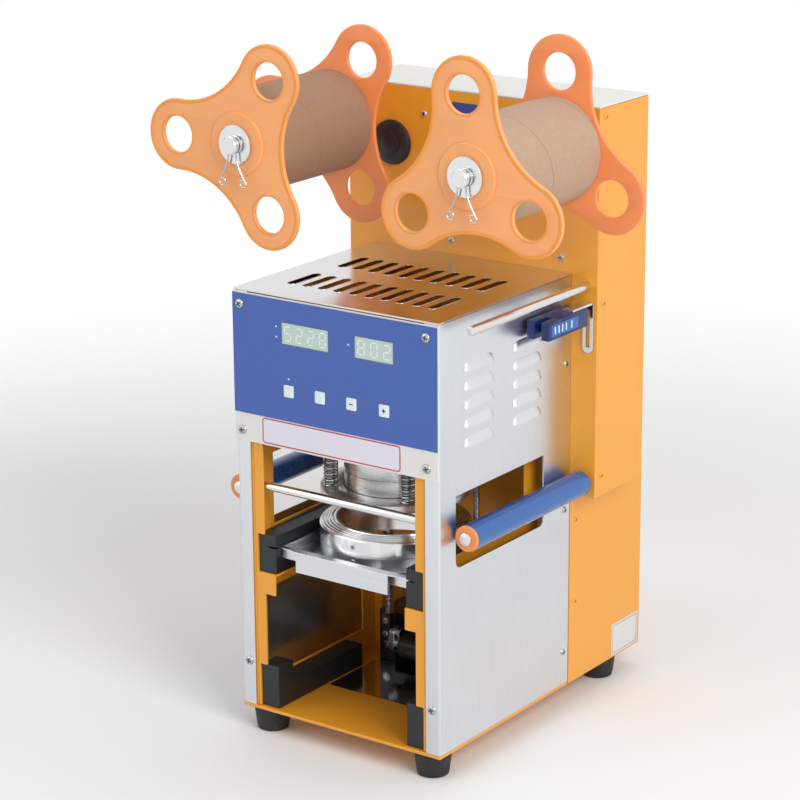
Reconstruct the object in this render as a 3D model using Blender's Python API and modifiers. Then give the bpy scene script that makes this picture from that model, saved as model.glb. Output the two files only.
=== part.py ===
"""A table-top cup sealing machine with two film reels, a sliding cup tray and a lifting head.

The model is in metres with +X to the machine's right, +Y to its back and +Z up.
Every part hangs under one empty, which stands at the middle of the body's front edge,
on the underside of its base, so that the sizes below are counted from there.
"""
from math import atan2, cos, pi, radians, sin

import bmesh
import bpy
from mathutils import Matrix, Vector

# Clearances
SEAT = 0.0003
RUN = 0.0005
WELD = 0.00001
PAST = 0.002

# Where the body's front edge stands in the machine's frame
FRONT_Y = -0.1675
FOOT_HEIGHT = 0.023

# The mold's radius drives the body's width and depth
MOLD_RADIUS = 0.0691
MOLD_GAP = 0.0024
MOLD_FRONT_GAP = 0.0067
MOLD_REAR_GAP = 0.0119
RAIL_INNER = MOLD_RADIUS + MOLD_GAP
RAIL_INSET = 0.0385
PAN_WIDTH = 2 * RAIL_INNER
TRAY_BASIN_FRONT = 0.0132
MOLD_Y = TRAY_BASIN_FRONT + MOLD_FRONT_GAP + MOLD_RADIUS
TRAY_REAR = MOLD_Y + MOLD_RADIUS + MOLD_REAR_GAP
ROD_INSET_Y = 0.0121
ROD_Y = MOLD_Y + MOLD_RADIUS - ROD_INSET_Y
GEARBOX_GAP_Y = 0.011
GEARBOX_DEPTH = 0.040
GEARBOX_FRONT = ROD_Y + GEARBOX_GAP_Y
GEARBOX_REAR = GEARBOX_FRONT + GEARBOX_DEPTH
GEARBOX_REAR_GAP = 0.0113

# Body box
BODY_WIDTH = 2 * (RAIL_INNER + RAIL_INSET)
BODY_DEPTH = GEARBOX_REAR + GEARBOX_REAR_GAP
BASE_THICKNESS = 0.003
SHEET = 0.0012
COVER_TOP = 0.3945
TOP_SHEET = 0.0015
POST_WIDTH = 0.015

# Recess in the base and the polished pan that lies in it
PAN_FRONT = 0.077
PAN_REACH = 0.003
PAN_REAR = GEARBOX_REAR + PAN_REACH
PAN_RECESS = 0.0018
PAN_THICKNESS = 0.0008

# Feet
FOOT_TOP_RADIUS = 0.017
FOOT_BOTTOM_RADIUS = 0.014
FOOT_INSET = 0.020
FOOT_SPACING_X = BODY_WIDTH - 2 * FOOT_INSET
FOOT_FRONT_Y = 0.018

# Window and louvers of the side covers
WINDOW_FRONT = 0.0246
WINDOW_REAR = 0.1645
WINDOW_LOW = 0.1708
WINDOW_HIGH = 0.2373
WINDOW_CORNER = 0.007
LOUVER_ROWS = 5
LOUVER_DROP = 0.0445
LOUVER_TOP = COVER_TOP - LOUVER_DROP
LOUVER_PITCH = 0.0169
LOUVER_COLUMNS = (0.060, 0.1357)
LOUVER_LENGTH = 0.044
LOUVER_HEIGHT = 0.009
LOUVER_DEPTH = 0.0025

# Slots in the top cover
SLOT_COUNT = 10
SLOT_PITCH = 0.01687
SLOT_WIDTH = 0.0085
SLOT_ROWS = ((0.036, 0.080), (0.110, 0.152))

# Front panel, its film and its displays
PANEL_THICKNESS = 0.0012
PANEL_LOW = 0.257
PANEL_HIGH = 0.394
FILM_THICKNESS = 0.0003
FILM_LOW = 0.2835
FILM_HIGH = 0.3928
DISPLAY_LOW = 0.3534
DISPLAY_HIGH = 0.3730
DISPLAYS = ((-0.0555, -0.0050), (0.0235, 0.0640))

# Keys and the board behind the panel
KEY_WIDTH = 0.0106
KEY_HEIGHT = 0.0110
KEY_PROUD = 0.0008
KEY_Z = 0.3112
KEY_CENTRES = (-0.0486, -0.0145, 0.0195, 0.0543)
KEY_TRAVEL = 0.0008
KEY_RIM = 0.001
KEY_STEM_RADIUS = 0.002
BOARD_FRONT = 0.0103
BOARD_THICKNESS = 0.0016
BOARD_INSET = 0.025
BOARD_WIDTH = BODY_WIDTH - 2 * BOARD_INSET
BOARD_LOW = 0.286
BOARD_HIGH = 0.388
SWITCH_SIDE = 0.006
SWITCH_FRONT = 0.0052
STANDOFF_RADIUS = 0.003
STANDOFF_INSET = 0.005

# Inner frames
FRAME_INSET = 0.0172
FRAME_SHEET = 0.0018
FRAME_FRONT = 0.0020
FRAME_REACH = 0.012
FRAME_REAR = TRAY_REAR + FRAME_REACH
FRAME_TOP = 0.388
FLANGE_WIDTH = 0.0098
LEDGE_WIDTH = 0.0213
LEDGE_Z = 0.1313
LEDGE_THICKNESS = 0.0024
BRIDGE_LEDGE_Z = 0.3153
CUTOUT_REAR_GAP = 0.022
CUTOUT = (0.014, FRAME_REAR - CUTOUT_REAR_GAP, 0.0265, 0.1135)
OPENING = (0.027, FRAME_REAR - CUTOUT_REAR_GAP, 0.172, 0.240)

# Guide rails
RAIL_FRONT = 0.004
LOWER_RAIL_REAR = 0.132
LOWER_RAIL_HEIGHT = 0.0217
LOWER_BLOCK_HEIGHT = 0.0407
LOWER_BLOCK_LENGTH = 0.022
UPPER_RAIL_REACH = 0.008
UPPER_RAIL_REAR = TRAY_REAR + UPPER_RAIL_REACH
UPPER_RAIL_TOP = 0.170
SLOT_DEPTH = 0.0085

# Front bar
BAR_RADIUS = 0.004
BAR_Y = 0.008
BAR_Z = 0.215

# Sliding tray
TRAY_SHEET = 0.0012
TRAY_RIM_Z = 0.1579
TRAY_FLOOR_Z = 0.1478
TRAY_RIM_REACH = 0.0075
TRAY_RIM_HALF = RAIL_INNER + TRAY_RIM_REACH
TRAY_BASIN_GAP = 0.0019
TRAY_BASIN_HALF = RAIL_INNER - TRAY_BASIN_GAP
TRAY_FRONT = 0.0054
TRAY_SHOULDER = 0.0103
TRAY_LIP_INSET = 0.0283
TRAY_LIP_HALF = TRAY_RIM_HALF - TRAY_LIP_INSET
TRAY_LIP_LOW = 0.140
NOTCH_HALF = 0.008
NOTCH_GAP = 0.0095
NOTCH_FRONT = ROD_Y - NOTCH_GAP

# Cup mold
MOLD_WALL = 0.0191
MOLD_BORE = MOLD_RADIUS - MOLD_WALL
TRAY_HOLE_RADIUS = MOLD_BORE + 0.002
MOLD_SEAM = 0.163
RING_TOP = 0.1778
RIM_TOP = 0.1808
RIM_INSET = 0.0131
RIM_RADIUS = MOLD_RADIUS - RIM_INSET
RING_WALL = 0.0217
RING_BORE = MOLD_RADIUS - RING_WALL
RIDGE_PITCH = 0.0027
RIDGES = 4
RIDGE_GROOVE = 0.0008

# Sealing head
HEATER_GAP = 0.0011
HEATER_RADIUS = RING_BORE - HEATER_GAP
HEATER_LOW = 0.2025
HEATER_HIGH = 0.250
HEATER_NECK = 0.020
HEAD_PLATE_LOW = 0.262
HEAD_PLATE_THICKNESS = 0.006
HEAD_PLATE_REACH = 0.0157
HEAD_PLATE_HALF = HEATER_RADIUS + HEAD_PLATE_REACH
HEAD_PLATE_MARGIN = 0.0127
HEAD_PLATE_FRONT = MOLD_Y - HEATER_RADIUS - HEAD_PLATE_MARGIN
HEAD_PLATE_TAIL = 0.014
HEAD_PLATE_REAR = ROD_Y + HEAD_PLATE_TAIL
PRESSER_INSET = 0.0011
PRESSER_RADIUS = MOLD_RADIUS - PRESSER_INSET
PRESSER_LOW = 0.2045
PRESSER_THICKNESS = 0.0075
POST_GAP = 0.0122
POST_ANGLE = radians(43.4)
POST_CIRCLE = HEATER_RADIUS + POST_GAP
POST_SPACING_X = 2 * POST_CIRCLE * cos(POST_ANGLE)
POST_FRONT_Y = MOLD_Y - POST_CIRCLE * sin(POST_ANGLE)
POST_REAR_Y = MOLD_Y + POST_CIRCLE * sin(POST_ANGLE)
POST_RADIUS = 0.004
POST_NUT_RADIUS = 0.0055
POST_NUT_HEIGHT = 0.0022
SPRING_RADIUS = 0.0067
SPRING_WIRE = 0.0008
SPRING_TURNS = 4

# Fixed bridge plate with the head's two guide columns
BRIDGE_THICKNESS = 0.003
BRIDGE_FRONT = 0.020
BRIDGE_TAIL = 0.012
BRIDGE_REAR = ROD_Y + BRIDGE_TAIL
COLUMN_GAP = 0.0057
COLUMN_X = HEATER_RADIUS + COLUMN_GAP
COLUMN_RADIUS = 0.005
COLUMN_LOW = 0.236

# Lift rods with their links, and their springs
ROD_INSET = 0.022
ROD_X = RAIL_INNER - ROD_INSET
ROD_RADIUS = 0.003
NUT_LOW = 0.139
NUT_HEIGHT = 0.0105
NUT_RADIUS = 0.006
ROD_SPRING_RADIUS = 0.0045
ROD_SPRING_WIRE = 0.0007
ROD_SPRING_TURNS = 4
LINK_THICKNESS = 0.008
LINK_WIDTH = 0.012
LINK_LOW = 0.032
LINK_HIGH = 0.057

# Crank and gear motor
CRANK_Z = 0.0286
CRANK_THROW = 0.010
SHAFT_RADIUS = 0.006
CRANK_ARM = 0.006
CRANK_HUB_RADIUS = 0.009
CRANK_EYE_RADIUS = 0.007
CRANK_BOLT_RADIUS = 0.004
CRANK_BOLT_HEIGHT = 0.003
GEARBOX_GAP = 0.0025
GEARBOX_HALF = RAIL_INNER - GEARBOX_GAP
GEARBOX_LOW = 0.012
GEARBOX_HIGH = 0.053
GEARBOX_FOOT = 0.018
BEARING_RADIUS = 0.0125
BEARING_INSET = 0.0175
BEARING_HALF = ROD_X - BEARING_INSET

# Column with its wings, and the cabinet under it
COLUMN_WING = 0.0266
COLUMN_HALF = BODY_WIDTH / 2 + COLUMN_WING
COLUMN_FRONT = BODY_DEPTH + SEAT
COLUMN_DEPTH = 0.0834
COLUMN_BACK = COLUMN_FRONT + COLUMN_DEPTH
COLUMN_BOTTOM = 0.1883
COLUMN_TOP = 0.5475
COLUMN_CAP = 0.0015
CABINET_GAP = 0.0018
CABINET_FRONT = BODY_DEPTH + CABINET_GAP
CABINET_DEPTH = 0.1279
CABINET_BACK = CABINET_FRONT + CABINET_DEPTH
FOOT_REAR_INSET = 0.043
FOOT_REAR_Y = CABINET_BACK - FOOT_REAR_INSET
CABINET_TOP = 0.188
BOSS_Z = 0.4935
BOSS_RADIUS = 0.021
BOSS_HEIGHT = 0.006
INLET_WIDTH = 0.028
INLET_HEIGHT = 0.022
INLET_DEPTH = 0.020
INLET_RIM = 0.004
INLET_INSET = 0.050
INLET_X = INLET_INSET - BODY_WIDTH / 2
INLET_Z = 0.060

# Film reels
REEL_OUT = 0.01165
REEL_X = BODY_WIDTH / 2 + REEL_OUT
BOSS_INSET = 0.03465
BOSS_X = BOSS_INSET - REEL_X
REEL_Z = 0.5185
REEL_PLATE = 0.004
REEL_FRONT_Y = 0.025
REEL_REAR_Y = 0.160
REEL_HOLE_CIRCLE = 0.0683
REEL_HOLE_RADIUS = 0.0164
REEL_LOBE_RADIUS = 0.032
REEL_WAIST = 0.049
REEL_HUB_RADIUS = 0.0287
REEL_HUB_HEIGHT = 0.002
REEL_PHASES = {"left": (59.1, 58.4), "right": (93.8, 87.5)}
CORE_RADIUS = 0.0465
CORE_WALL = 0.004
SPIGOT_DEPTH = 0.006
SPIGOT_WALL = 0.003
REEL_SHAFT_RADIUS = 0.008
REEL_SHAFT_FRONT = 0.012
WASHER_RADIUS = 0.0175
WASHER_THICKNESS = 0.003
SHAFT_FOOT_RADIUS = 0.014
SHAFT_FOOT_LENGTH = 0.006
GROOVE_RADIUS = 0.0064
GROOVE_FRONT = 0.0155
GROOVE_WIDTH = 0.003
CLIP_WIRE = 0.0009
CLIP_LEG = 0.034
CLIP_SPREAD = 0.010
CLIP_LOOP = 0.003

# Film rollers and guide rod
ROLLER_OUT = 0.014
ROLLER_X = BODY_WIDTH / 2 + ROLLER_OUT
ROLLER_Z = 0.2025
ROLLER_RADIUS = 0.0117
ROLLER_BORE = 0.0045
ROLLER_FRONT = 0.020
AXLE_RADIUS = 0.004
AXLE_HEAD_RADIUS = 0.006
AXLE_HEAD_HEIGHT = 0.003
AXLE_COLLAR = 0.004
GUIDE_OUT = 0.016
GUIDE_X = BODY_WIDTH / 2 + GUIDE_OUT
GUIDE_Z = 0.387
GUIDE_RADIUS = 0.0043
GUIDE_FRONT = 0.0226

# Film sensor and its bracket
SENSOR_OUT = 0.003
SENSOR_WIDTH = 0.023
SENSOR_INNER = BODY_WIDTH / 2 + SENSOR_OUT
SENSOR_OUTER = SENSOR_INNER + SENSOR_WIDTH
SENSOR_GAP_REAR = 0.0133
SENSOR_REAR = BODY_DEPTH - SENSOR_GAP_REAR
SENSOR_BODY = 0.045
SENSOR_PRONG = 0.020
SENSOR_GAP = 0.007
SENSOR_LOW = 0.3545
SENSOR_HIGH = 0.3710
BRACKET_INSET = 0.010
BRACKET_WIDTH = 0.011
BRACKET_INNER = SENSOR_INNER + BRACKET_INSET
BRACKET_OUTER = BRACKET_INNER + BRACKET_WIDTH
BRACKET_THICKNESS = 0.002
BRACKET_LOW = 0.3255
BRACKET_SLOT = 0.004

for leftover in list(bpy.data.objects):
    bpy.data.objects.remove(leftover)

parts = bpy.data.collections.new("cup_sealing_machine")
cutters = bpy.data.collections.new("cutters")
bpy.context.scene.collection.children.link(parts)
bpy.context.scene.collection.children.link(cutters)

machine = bpy.data.objects.new("machine_origin", None)
machine.location = (0, FRONT_Y, FOOT_HEIGHT)
parts.objects.link(machine)


# Materials

def material(name, colour, metallic, roughness):
    """A plain surface with its colour, metal share and roughness."""
    surface = bpy.data.materials.new(name)
    surface.use_nodes = True
    shader = surface.node_tree.nodes["Principled BSDF"]
    shader.inputs["Base Color"].default_value = (*colour, 1)
    shader.inputs["Metallic"].default_value = metallic
    shader.inputs["Roughness"].default_value = roughness
    return surface


ORANGE = ((0.87, 0.42, 0.06), 0.0, 0.35)
STEEL = ((0.78, 0.78, 0.78), 1.0, 0.28)
ALUMINIUM = ((0.72, 0.73, 0.74), 1.0, 0.35)
BLACK = ((0.02, 0.02, 0.022), 0.0, 0.45)
RUBBER = ((0.015, 0.015, 0.015), 0.0, 0.8)
BLUE = ((0.04, 0.09, 0.42), 0.0, 0.35)
CREAM = ((0.86, 0.85, 0.80), 0.0, 0.4)
CARD = ((0.52, 0.36, 0.22), 0.0, 0.85)
REEL = ((0.90, 0.33, 0.08), 0.0, 0.35)
GREEN = ((0.03, 0.16, 0.07), 0.0, 0.5)


# Shapes

def turn_to(axis):
    """The turn that lays a shape's own Z along the named axis."""
    return {
        "X": Matrix.Rotation(pi / 2, 4, "Y"),
        "Y": Matrix.Rotation(-pi / 2, 4, "X"),
        "Z": Matrix.Identity(4),
    }[axis]


def box(x, y, z):
    """A block between the two ends given along each axis."""
    low = Vector((x[0], y[0], z[0]))
    high = Vector((x[1], y[1], z[1]))
    size = Matrix.Diagonal((*(high - low), 1))
    shape = bmesh.new()
    bmesh.ops.create_cube(shape, size=1, matrix=Matrix.Translation((low + high) / 2) @ size)
    return shape


def rod(start, axis, length, radius, steps=24, end_radius=None):
    """A round bar, or a cone where the far end has a radius of its own."""
    shape = bmesh.new()
    far = radius if end_radius is None else end_radius
    place = Matrix.Translation(start) @ turn_to(axis) @ Matrix.Translation((0, 0, length / 2))
    bmesh.ops.create_cone(shape, cap_ends=True, segments=steps, radius1=radius, radius2=far,
                          depth=length, matrix=place)
    return shape


def evaluated(data, steps=0):
    """The mesh of a curve, or of a profile turned about its Z axis in the given steps."""
    drawing = bpy.data.objects.new("drawing", data)
    parts.objects.link(drawing)
    if steps:
        turn = drawing.modifiers.new("turn", "SCREW")
        turn.steps = steps
        turn.render_steps = steps
        turn.use_merge_vertices = True
        turn.merge_threshold = WELD
    bpy.context.view_layer.update()
    mesh = bpy.data.meshes.new_from_object(drawing.evaluated_get(bpy.context.evaluated_depsgraph_get()))
    bpy.data.objects.remove(drawing)
    shape = bmesh.new()
    shape.from_mesh(mesh)
    bpy.data.meshes.remove(mesh)
    bmesh.ops.remove_doubles(shape, verts=shape.verts, dist=WELD)
    return shape


def turned(profile, closed, centre, axis="Z", steps=32):
    """A turned shape: (radius, height) points that run down the outer side."""
    outline = bpy.data.meshes.new("profile")
    count = len(profile)
    edges = [(point, (point + 1) % count) for point in range(count if closed else count - 1)]
    outline.from_pydata([(radius, 0, height) for radius, height in profile], edges, [])
    shape = evaluated(outline, steps)
    shape.transform(Matrix.Translation(centre) @ turn_to(axis))
    bpy.data.meshes.remove(outline)
    return shape


def ring(outer, inner, low, high, centre, axis="Z", steps=32):
    """A plain ring between two heights."""
    profile = ((outer, high), (outer, low), (inner, low), (inner, high))
    return turned(profile, True, centre, axis, steps)


def sheet(outlines, plane, low, thickness):
    """A flat sheet with its outer outline first and then its holes."""
    curve = bpy.data.curves.new("outline", "CURVE")
    curve.dimensions = "2D"
    curve.fill_mode = "BOTH"
    curve.extrude = thickness / 2
    for outline in outlines:
        spline = curve.splines.new("POLY")
        spline.points.add(len(outline) - 1)
        for point, (across, up) in zip(spline.points, outline):
            point.co = (across, up, 0, 1)
        spline.use_cyclic_u = True
    shape = evaluated(curve)
    bpy.data.curves.remove(curve)
    stand = {
        "XY": Matrix.Identity(4),
        "XZ": Matrix(((1, 0, 0, 0), (0, 0, 1, 0), (0, 1, 0, 0), (0, 0, 0, 1))),
        "YZ": Matrix(((0, 0, 1, 0), (1, 0, 0, 0), (0, 1, 0, 0), (0, 0, 0, 1))),
    }[plane]
    shape.transform(stand @ Matrix.Translation((0, 0, low + thickness / 2)))
    return shape


def wire(points, radius):
    """A round wire along the given points."""
    curve = bpy.data.curves.new("wire", "CURVE")
    curve.dimensions = "3D"
    curve.bevel_depth = radius
    curve.bevel_resolution = 2
    curve.use_fill_caps = True
    spline = curve.splines.new("POLY")
    spline.points.add(len(points) - 1)
    for point, place in zip(spline.points, points):
        point.co = (*place, 1)
    shape = evaluated(curve)
    bpy.data.curves.remove(curve)
    return shape


def coil(centre_x, centre_y, low, high, radius, thickness, turns):
    """A round-wire coil spring that stands upright between two heights."""
    steps = 8 * turns
    rise = high - low - 2 * thickness
    points = []
    for step in range(steps + 1):
        angle = 2 * pi * step / 8
        height = low + thickness + rise * step / steps
        points.append((centre_x + radius * cos(angle), centre_y + radius * sin(angle), height))
    return wire(points, thickness)


def rectangle(left, right, low, high):
    """The four corners of an upright rectangle."""
    return [(left, low), (right, low), (right, high), (left, high)]


def arc(centre, radius, start, sweep, steps):
    """Points along an arc, both ends included."""
    turns = [start + sweep * step / steps for step in range(steps + 1)]
    return [(centre[0] + radius * cos(turn), centre[1] + radius * sin(turn)) for turn in turns]


def circle(centre, radius, steps=24):
    """Points round a circle."""
    return arc(centre, radius, 0, 2 * pi, steps)[:-1]


def group(shapes):
    """Several separate solids as one shape."""
    whole = bmesh.new()
    for shape in shapes:
        mesh = bpy.data.meshes.new("piece")
        shape.to_mesh(mesh)
        shape.free()
        whole.from_mesh(mesh)
        bpy.data.meshes.remove(mesh)
    return whole


def make(name, shape, surface, origin=(0, 0, 0), collection=parts):
    """Turn a shape into a named part whose origin lies at the given point."""
    bmesh.ops.translate(shape, verts=shape.verts, vec=-Vector(origin))
    bmesh.ops.recalc_face_normals(shape, faces=shape.faces)
    mesh = bpy.data.meshes.new(name)
    shape.to_mesh(mesh)
    shape.free()
    mesh.shade_smooth()
    mesh.set_sharp_from_angle(angle=radians(35))
    part = bpy.data.objects.new(name, mesh)
    part.location = origin
    part.parent = machine
    collection.objects.link(part)
    if surface:
        mesh.materials.append(material(name, *surface))
    return part


def combine(part, label, shape, operation):
    """Join another solid to a part, or cut it away."""
    tool = make(part.name + "_" + label, shape, None, collection=cutters)
    tool.hide_render = True
    tool.display_type = "WIRE"
    step = part.modifiers.new(label, "BOOLEAN")
    step.solver = "EXACT"
    step.operation = operation
    step.object = tool


def add(part, label, shape):
    """Join a solid to a part."""
    combine(part, label, shape, "UNION")


def cut(part, label, shape):
    """Cut a solid away from a part."""
    combine(part, label, shape, "DIFFERENCE")


# Body

def base():
    """The painted base plate, the pan in its recess and the four feet."""
    half = BODY_WIDTH / 2
    recess = BASE_THICKNESS - PAN_RECESS
    plate = make("base_plate", box((-half, half), (0, BODY_DEPTH), (0, BASE_THICKNESS)), ORANGE)
    pan_half = PAN_WIDTH / 2
    hollow = box((-pan_half, pan_half), (PAN_FRONT, PAN_REAR), (recess, BASE_THICKNESS + PAST))
    cut(plate, "recess", hollow)
    pan_sides = (-pan_half + SEAT, pan_half - SEAT)
    pan_ends = (PAN_FRONT + SEAT, PAN_REAR - SEAT)
    make("mirror_pan", box(pan_sides, pan_ends, (recess + SEAT, recess + SEAT + PAN_THICKNESS)), STEEL)
    for end, foot_y in (("front", FOOT_FRONT_Y), ("rear", FOOT_REAR_Y)):
        for name, side in (("left", -1), ("right", 1)):
            start = (side * FOOT_SPACING_X / 2, foot_y, -FOOT_HEIGHT)
            foot = rod(start, "Z", FOOT_HEIGHT - SEAT, FOOT_BOTTOM_RADIUS, 24, FOOT_TOP_RADIUS)
            make("foot_%s_%s" % (end, name), foot, RUBBER, start)


def window_outline():
    """The side window, square at the top and rounded at its lower corners."""
    corner = WINDOW_CORNER
    rear = arc((WINDOW_REAR - corner, WINDOW_LOW + corner), corner, -pi / 2, pi / 2, 4)
    front = arc((WINDOW_FRONT + corner, WINDOW_LOW + corner), corner, pi, pi / 2, 4)
    return front + rear + [(WINDOW_REAR, WINDOW_HIGH), (WINDOW_FRONT, WINDOW_HIGH)]


def side_cover(name, side):
    """A side cover: its sheet with the window, its front post and its louvers."""
    half = BODY_WIDTH / 2
    low = BASE_THICKNESS + SEAT
    bend = [
        (side * (half - POST_WIDTH), 0),
        (side * half, 0),
        (side * half, BODY_DEPTH),
        (side * (half - SHEET), BODY_DEPTH),
        (side * (half - SHEET), SHEET),
        (side * (half - POST_WIDTH), SHEET),
    ]
    cover = make(name, sheet([bend], "XY", low, COVER_TOP - low), STEEL)
    window_start = half - PAST if side > 0 else -half - PAST
    cut(cover, "window", sheet([window_outline()], "YZ", window_start, 2 * PAST))
    louvers = []
    for row in range(LOUVER_ROWS):
        bottom = LOUVER_TOP - row * LOUVER_PITCH - LOUVER_HEIGHT / 2
        for centre in LOUVER_COLUMNS:
            hood = [
                (side * (half - SHEET / 2), bottom),
                (side * (half + LOUVER_DEPTH), bottom),
                (side * (half - SHEET / 2), bottom + LOUVER_HEIGHT),
            ]
            louvers.append(sheet([hood], "XZ", centre - LOUVER_LENGTH / 2, LOUVER_LENGTH))
    add(cover, "louvers", group(louvers))


def top_cover():
    """The top sheet with its two rows of slots."""
    half = BODY_WIDTH / 2
    holes = []
    for front, rear in SLOT_ROWS:
        for slot in range(SLOT_COUNT):
            centre = (slot - (SLOT_COUNT - 1) / 2) * SLOT_PITCH
            left = centre - SLOT_WIDTH / 2
            holes.append(rectangle(left, left + SLOT_WIDTH, front, rear))
    outline = rectangle(-half, half, 0, BODY_DEPTH)
    make("top_cover", sheet([outline] + holes, "XY", COVER_TOP + SEAT, TOP_SHEET), STEEL)


# Control panel

def panel_windows(clearance):
    """Openings for the two displays and the four keys."""
    openings = []
    for left, right in DISPLAYS:
        openings.append(rectangle(left - clearance, right + clearance,
                                  DISPLAY_LOW - clearance, DISPLAY_HIGH + clearance))
    half_width = KEY_WIDTH / 2 + clearance
    half_height = KEY_HEIGHT / 2 + clearance
    for centre in KEY_CENTRES:
        openings.append(rectangle(centre - half_width, centre + half_width,
                                  KEY_Z - half_height, KEY_Z + half_height))
    return openings


def panel():
    """The cream front panel, its blue film and its keys."""
    half = BODY_WIDTH / 2
    back = -SEAT
    front = back - PANEL_THICKNESS
    film_back = front - SEAT
    film_front = film_back - FILM_THICKNESS
    plate = [rectangle(-half, half, PANEL_LOW, PANEL_HIGH)] + panel_windows(SEAT)
    make("front_panel", sheet(plate, "XZ", front, PANEL_THICKNESS), CREAM)
    film = [rectangle(-half, half - FILM_THICKNESS, FILM_LOW, FILM_HIGH)] + panel_windows(SEAT)
    make("panel_film", sheet(film, "XZ", film_front, FILM_THICKNESS), BLUE)
    for number, centre in enumerate(KEY_CENTRES, 1):
        key("key_%d" % number, centre, film_front - KEY_PROUD)


def key(name, centre, front):
    """A square key with a rim behind the panel and a stem that reaches for its switch."""
    half_width = KEY_WIDTH / 2
    half_height = KEY_HEIGHT / 2
    across = (centre - half_width, centre + half_width)
    origin = (centre, 0, KEY_Z)
    upward = (KEY_Z - half_height, KEY_Z + half_height)
    cap = make(name, box(across, (front, KEY_RIM / 2), upward), CREAM, origin)
    rim_x = (across[0] - KEY_RIM, across[1] + KEY_RIM)
    rim_z = (KEY_Z - half_height - KEY_RIM, KEY_Z + half_height + KEY_RIM)
    add(cap, "rim", box(rim_x, (0, KEY_RIM), rim_z))
    stem_end = SWITCH_FRONT - KEY_TRAVEL - SEAT
    add(cap, "stem", rod((centre, KEY_RIM / 2, KEY_Z), "Y", stem_end - KEY_RIM / 2, KEY_STEM_RADIUS, 12))


def control_board():
    """The circuit board with its displays, a switch behind each key and a standoff at each corner."""
    half = BOARD_WIDTH / 2
    rear = BOARD_FRONT + BOARD_THICKNESS
    board = make("control_board", box((-half, half), (BOARD_FRONT, rear), (BOARD_LOW, BOARD_HIGH)), GREEN)
    seated = BOARD_FRONT + BOARD_THICKNESS / 2
    side = SWITCH_SIDE / 2
    switches = []
    for centre in KEY_CENTRES:
        upward = (KEY_Z - side, KEY_Z + side)
        switches.append(box((centre - side, centre + side), (SWITCH_FRONT, seated), upward))
    for across in (-half + STANDOFF_INSET, half - STANDOFF_INSET):
        for height in (BOARD_LOW + STANDOFF_INSET, BOARD_HIGH - STANDOFF_INSET):
            switches.append(rod((across, 0, height), "Y", seated, STANDOFF_RADIUS, 12))
    add(board, "switches", group(switches))
    blocks = []
    for left, right in DISPLAYS:
        blocks.append(box((left, right), (-SEAT - PANEL_THICKNESS, seated), (DISPLAY_LOW, DISPLAY_HIGH)))
    add(board, "displays", group(blocks))


# Inner frames, rails and bar

def inner_frame(name, side):
    """A frame web with its cut-outs, its notched front flange and its two ledges."""
    outer = BODY_WIDTH / 2 - FRAME_INSET
    inner = outer - FRAME_SHEET
    low = BASE_THICKNESS + SEAT
    web = [rectangle(FRAME_FRONT, FRAME_REAR, low, FRAME_TOP), rectangle(*CUTOUT), rectangle(*OPENING)]
    frame = make(name, sheet(web, "YZ", inner if side > 0 else -outer, FRAME_SHEET), ORANGE)
    middle = outer - FRAME_SHEET / 2
    flange = sorted((side * (outer - FLANGE_WIDTH), side * middle))
    upper_start = UPPER_RAIL_TOP + SEAT
    lower_start = low + LOWER_BLOCK_HEIGHT + SEAT
    depth = (FRAME_FRONT, FRAME_FRONT + FRAME_SHEET)
    rear_depth = (FRAME_REAR - FRAME_SHEET, FRAME_REAR)
    ledge = sorted((side * (outer - LEDGE_WIDTH), side * middle))
    run = (FRAME_FRONT, FRAME_REAR)
    bridge_run = (BRIDGE_FRONT, BRIDGE_REAR)
    pieces = [
        box(flange, depth, (upper_start, FRAME_TOP)),
        box(ledge, depth, (lower_start, LEDGE_Z + LEDGE_THICKNESS)),
        box(flange, bridge_run, (BRIDGE_LEDGE_Z, BRIDGE_LEDGE_Z + LEDGE_THICKNESS)),
    ]
    add(frame, "flanges", group(pieces))
    add(frame, "ledge", box(ledge, run, (LEDGE_Z, LEDGE_Z + LEDGE_THICKNESS)))
    add(frame, "rear_flange", box(flange, rear_depth, (low, FRAME_TOP)))
    window = (CUTOUT[2], CUTOUT[3])
    keep = side * (outer - FLANGE_WIDTH)
    cut(frame, "opening", box(sorted((keep, side * (RAIL_INNER - PAST))), (0, CUTOUT[0]), window))


def rails():
    """The two lower guides and the two slotted upper rails that carry the tray."""
    outer = BODY_WIDTH / 2 - FRAME_INSET - FRAME_SHEET - SEAT
    low = BASE_THICKNESS + SEAT
    seat = LEDGE_Z + LEDGE_THICKNESS + SEAT
    slot_low = TRAY_RIM_Z - SEAT
    slot_high = TRAY_RIM_Z + TRAY_SHEET + SEAT
    block_end = RAIL_FRONT + LOWER_BLOCK_LENGTH
    for name, side in (("left", -1), ("right", 1)):
        across = sorted((side * RAIL_INNER, side * outer))
        upward = (low, low + LOWER_RAIL_HEIGHT)
        lower = make("lower_rail_" + name, box(across, (RAIL_FRONT, LOWER_RAIL_REAR), upward),
                     BLACK)
        add(lower, "block", box(across, (RAIL_FRONT, block_end), (low, low + LOWER_BLOCK_HEIGHT)))
        section = [
            (side * RAIL_INNER, seat),
            (side * outer, seat),
            (side * outer, UPPER_RAIL_TOP),
            (side * RAIL_INNER, UPPER_RAIL_TOP),
            (side * RAIL_INNER, slot_high),
            (side * (RAIL_INNER + SLOT_DEPTH), slot_high),
            (side * (RAIL_INNER + SLOT_DEPTH), slot_low),
            (side * RAIL_INNER, slot_low),
        ]
        make("upper_rail_" + name, sheet([section], "XZ", RAIL_FRONT, UPPER_RAIL_REAR - RAIL_FRONT), BLACK)
    make("front_bar", rod((-outer, BAR_Y, BAR_Z), "X", 2 * outer, BAR_RADIUS, 24), STEEL)


# Tray and mold

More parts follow.
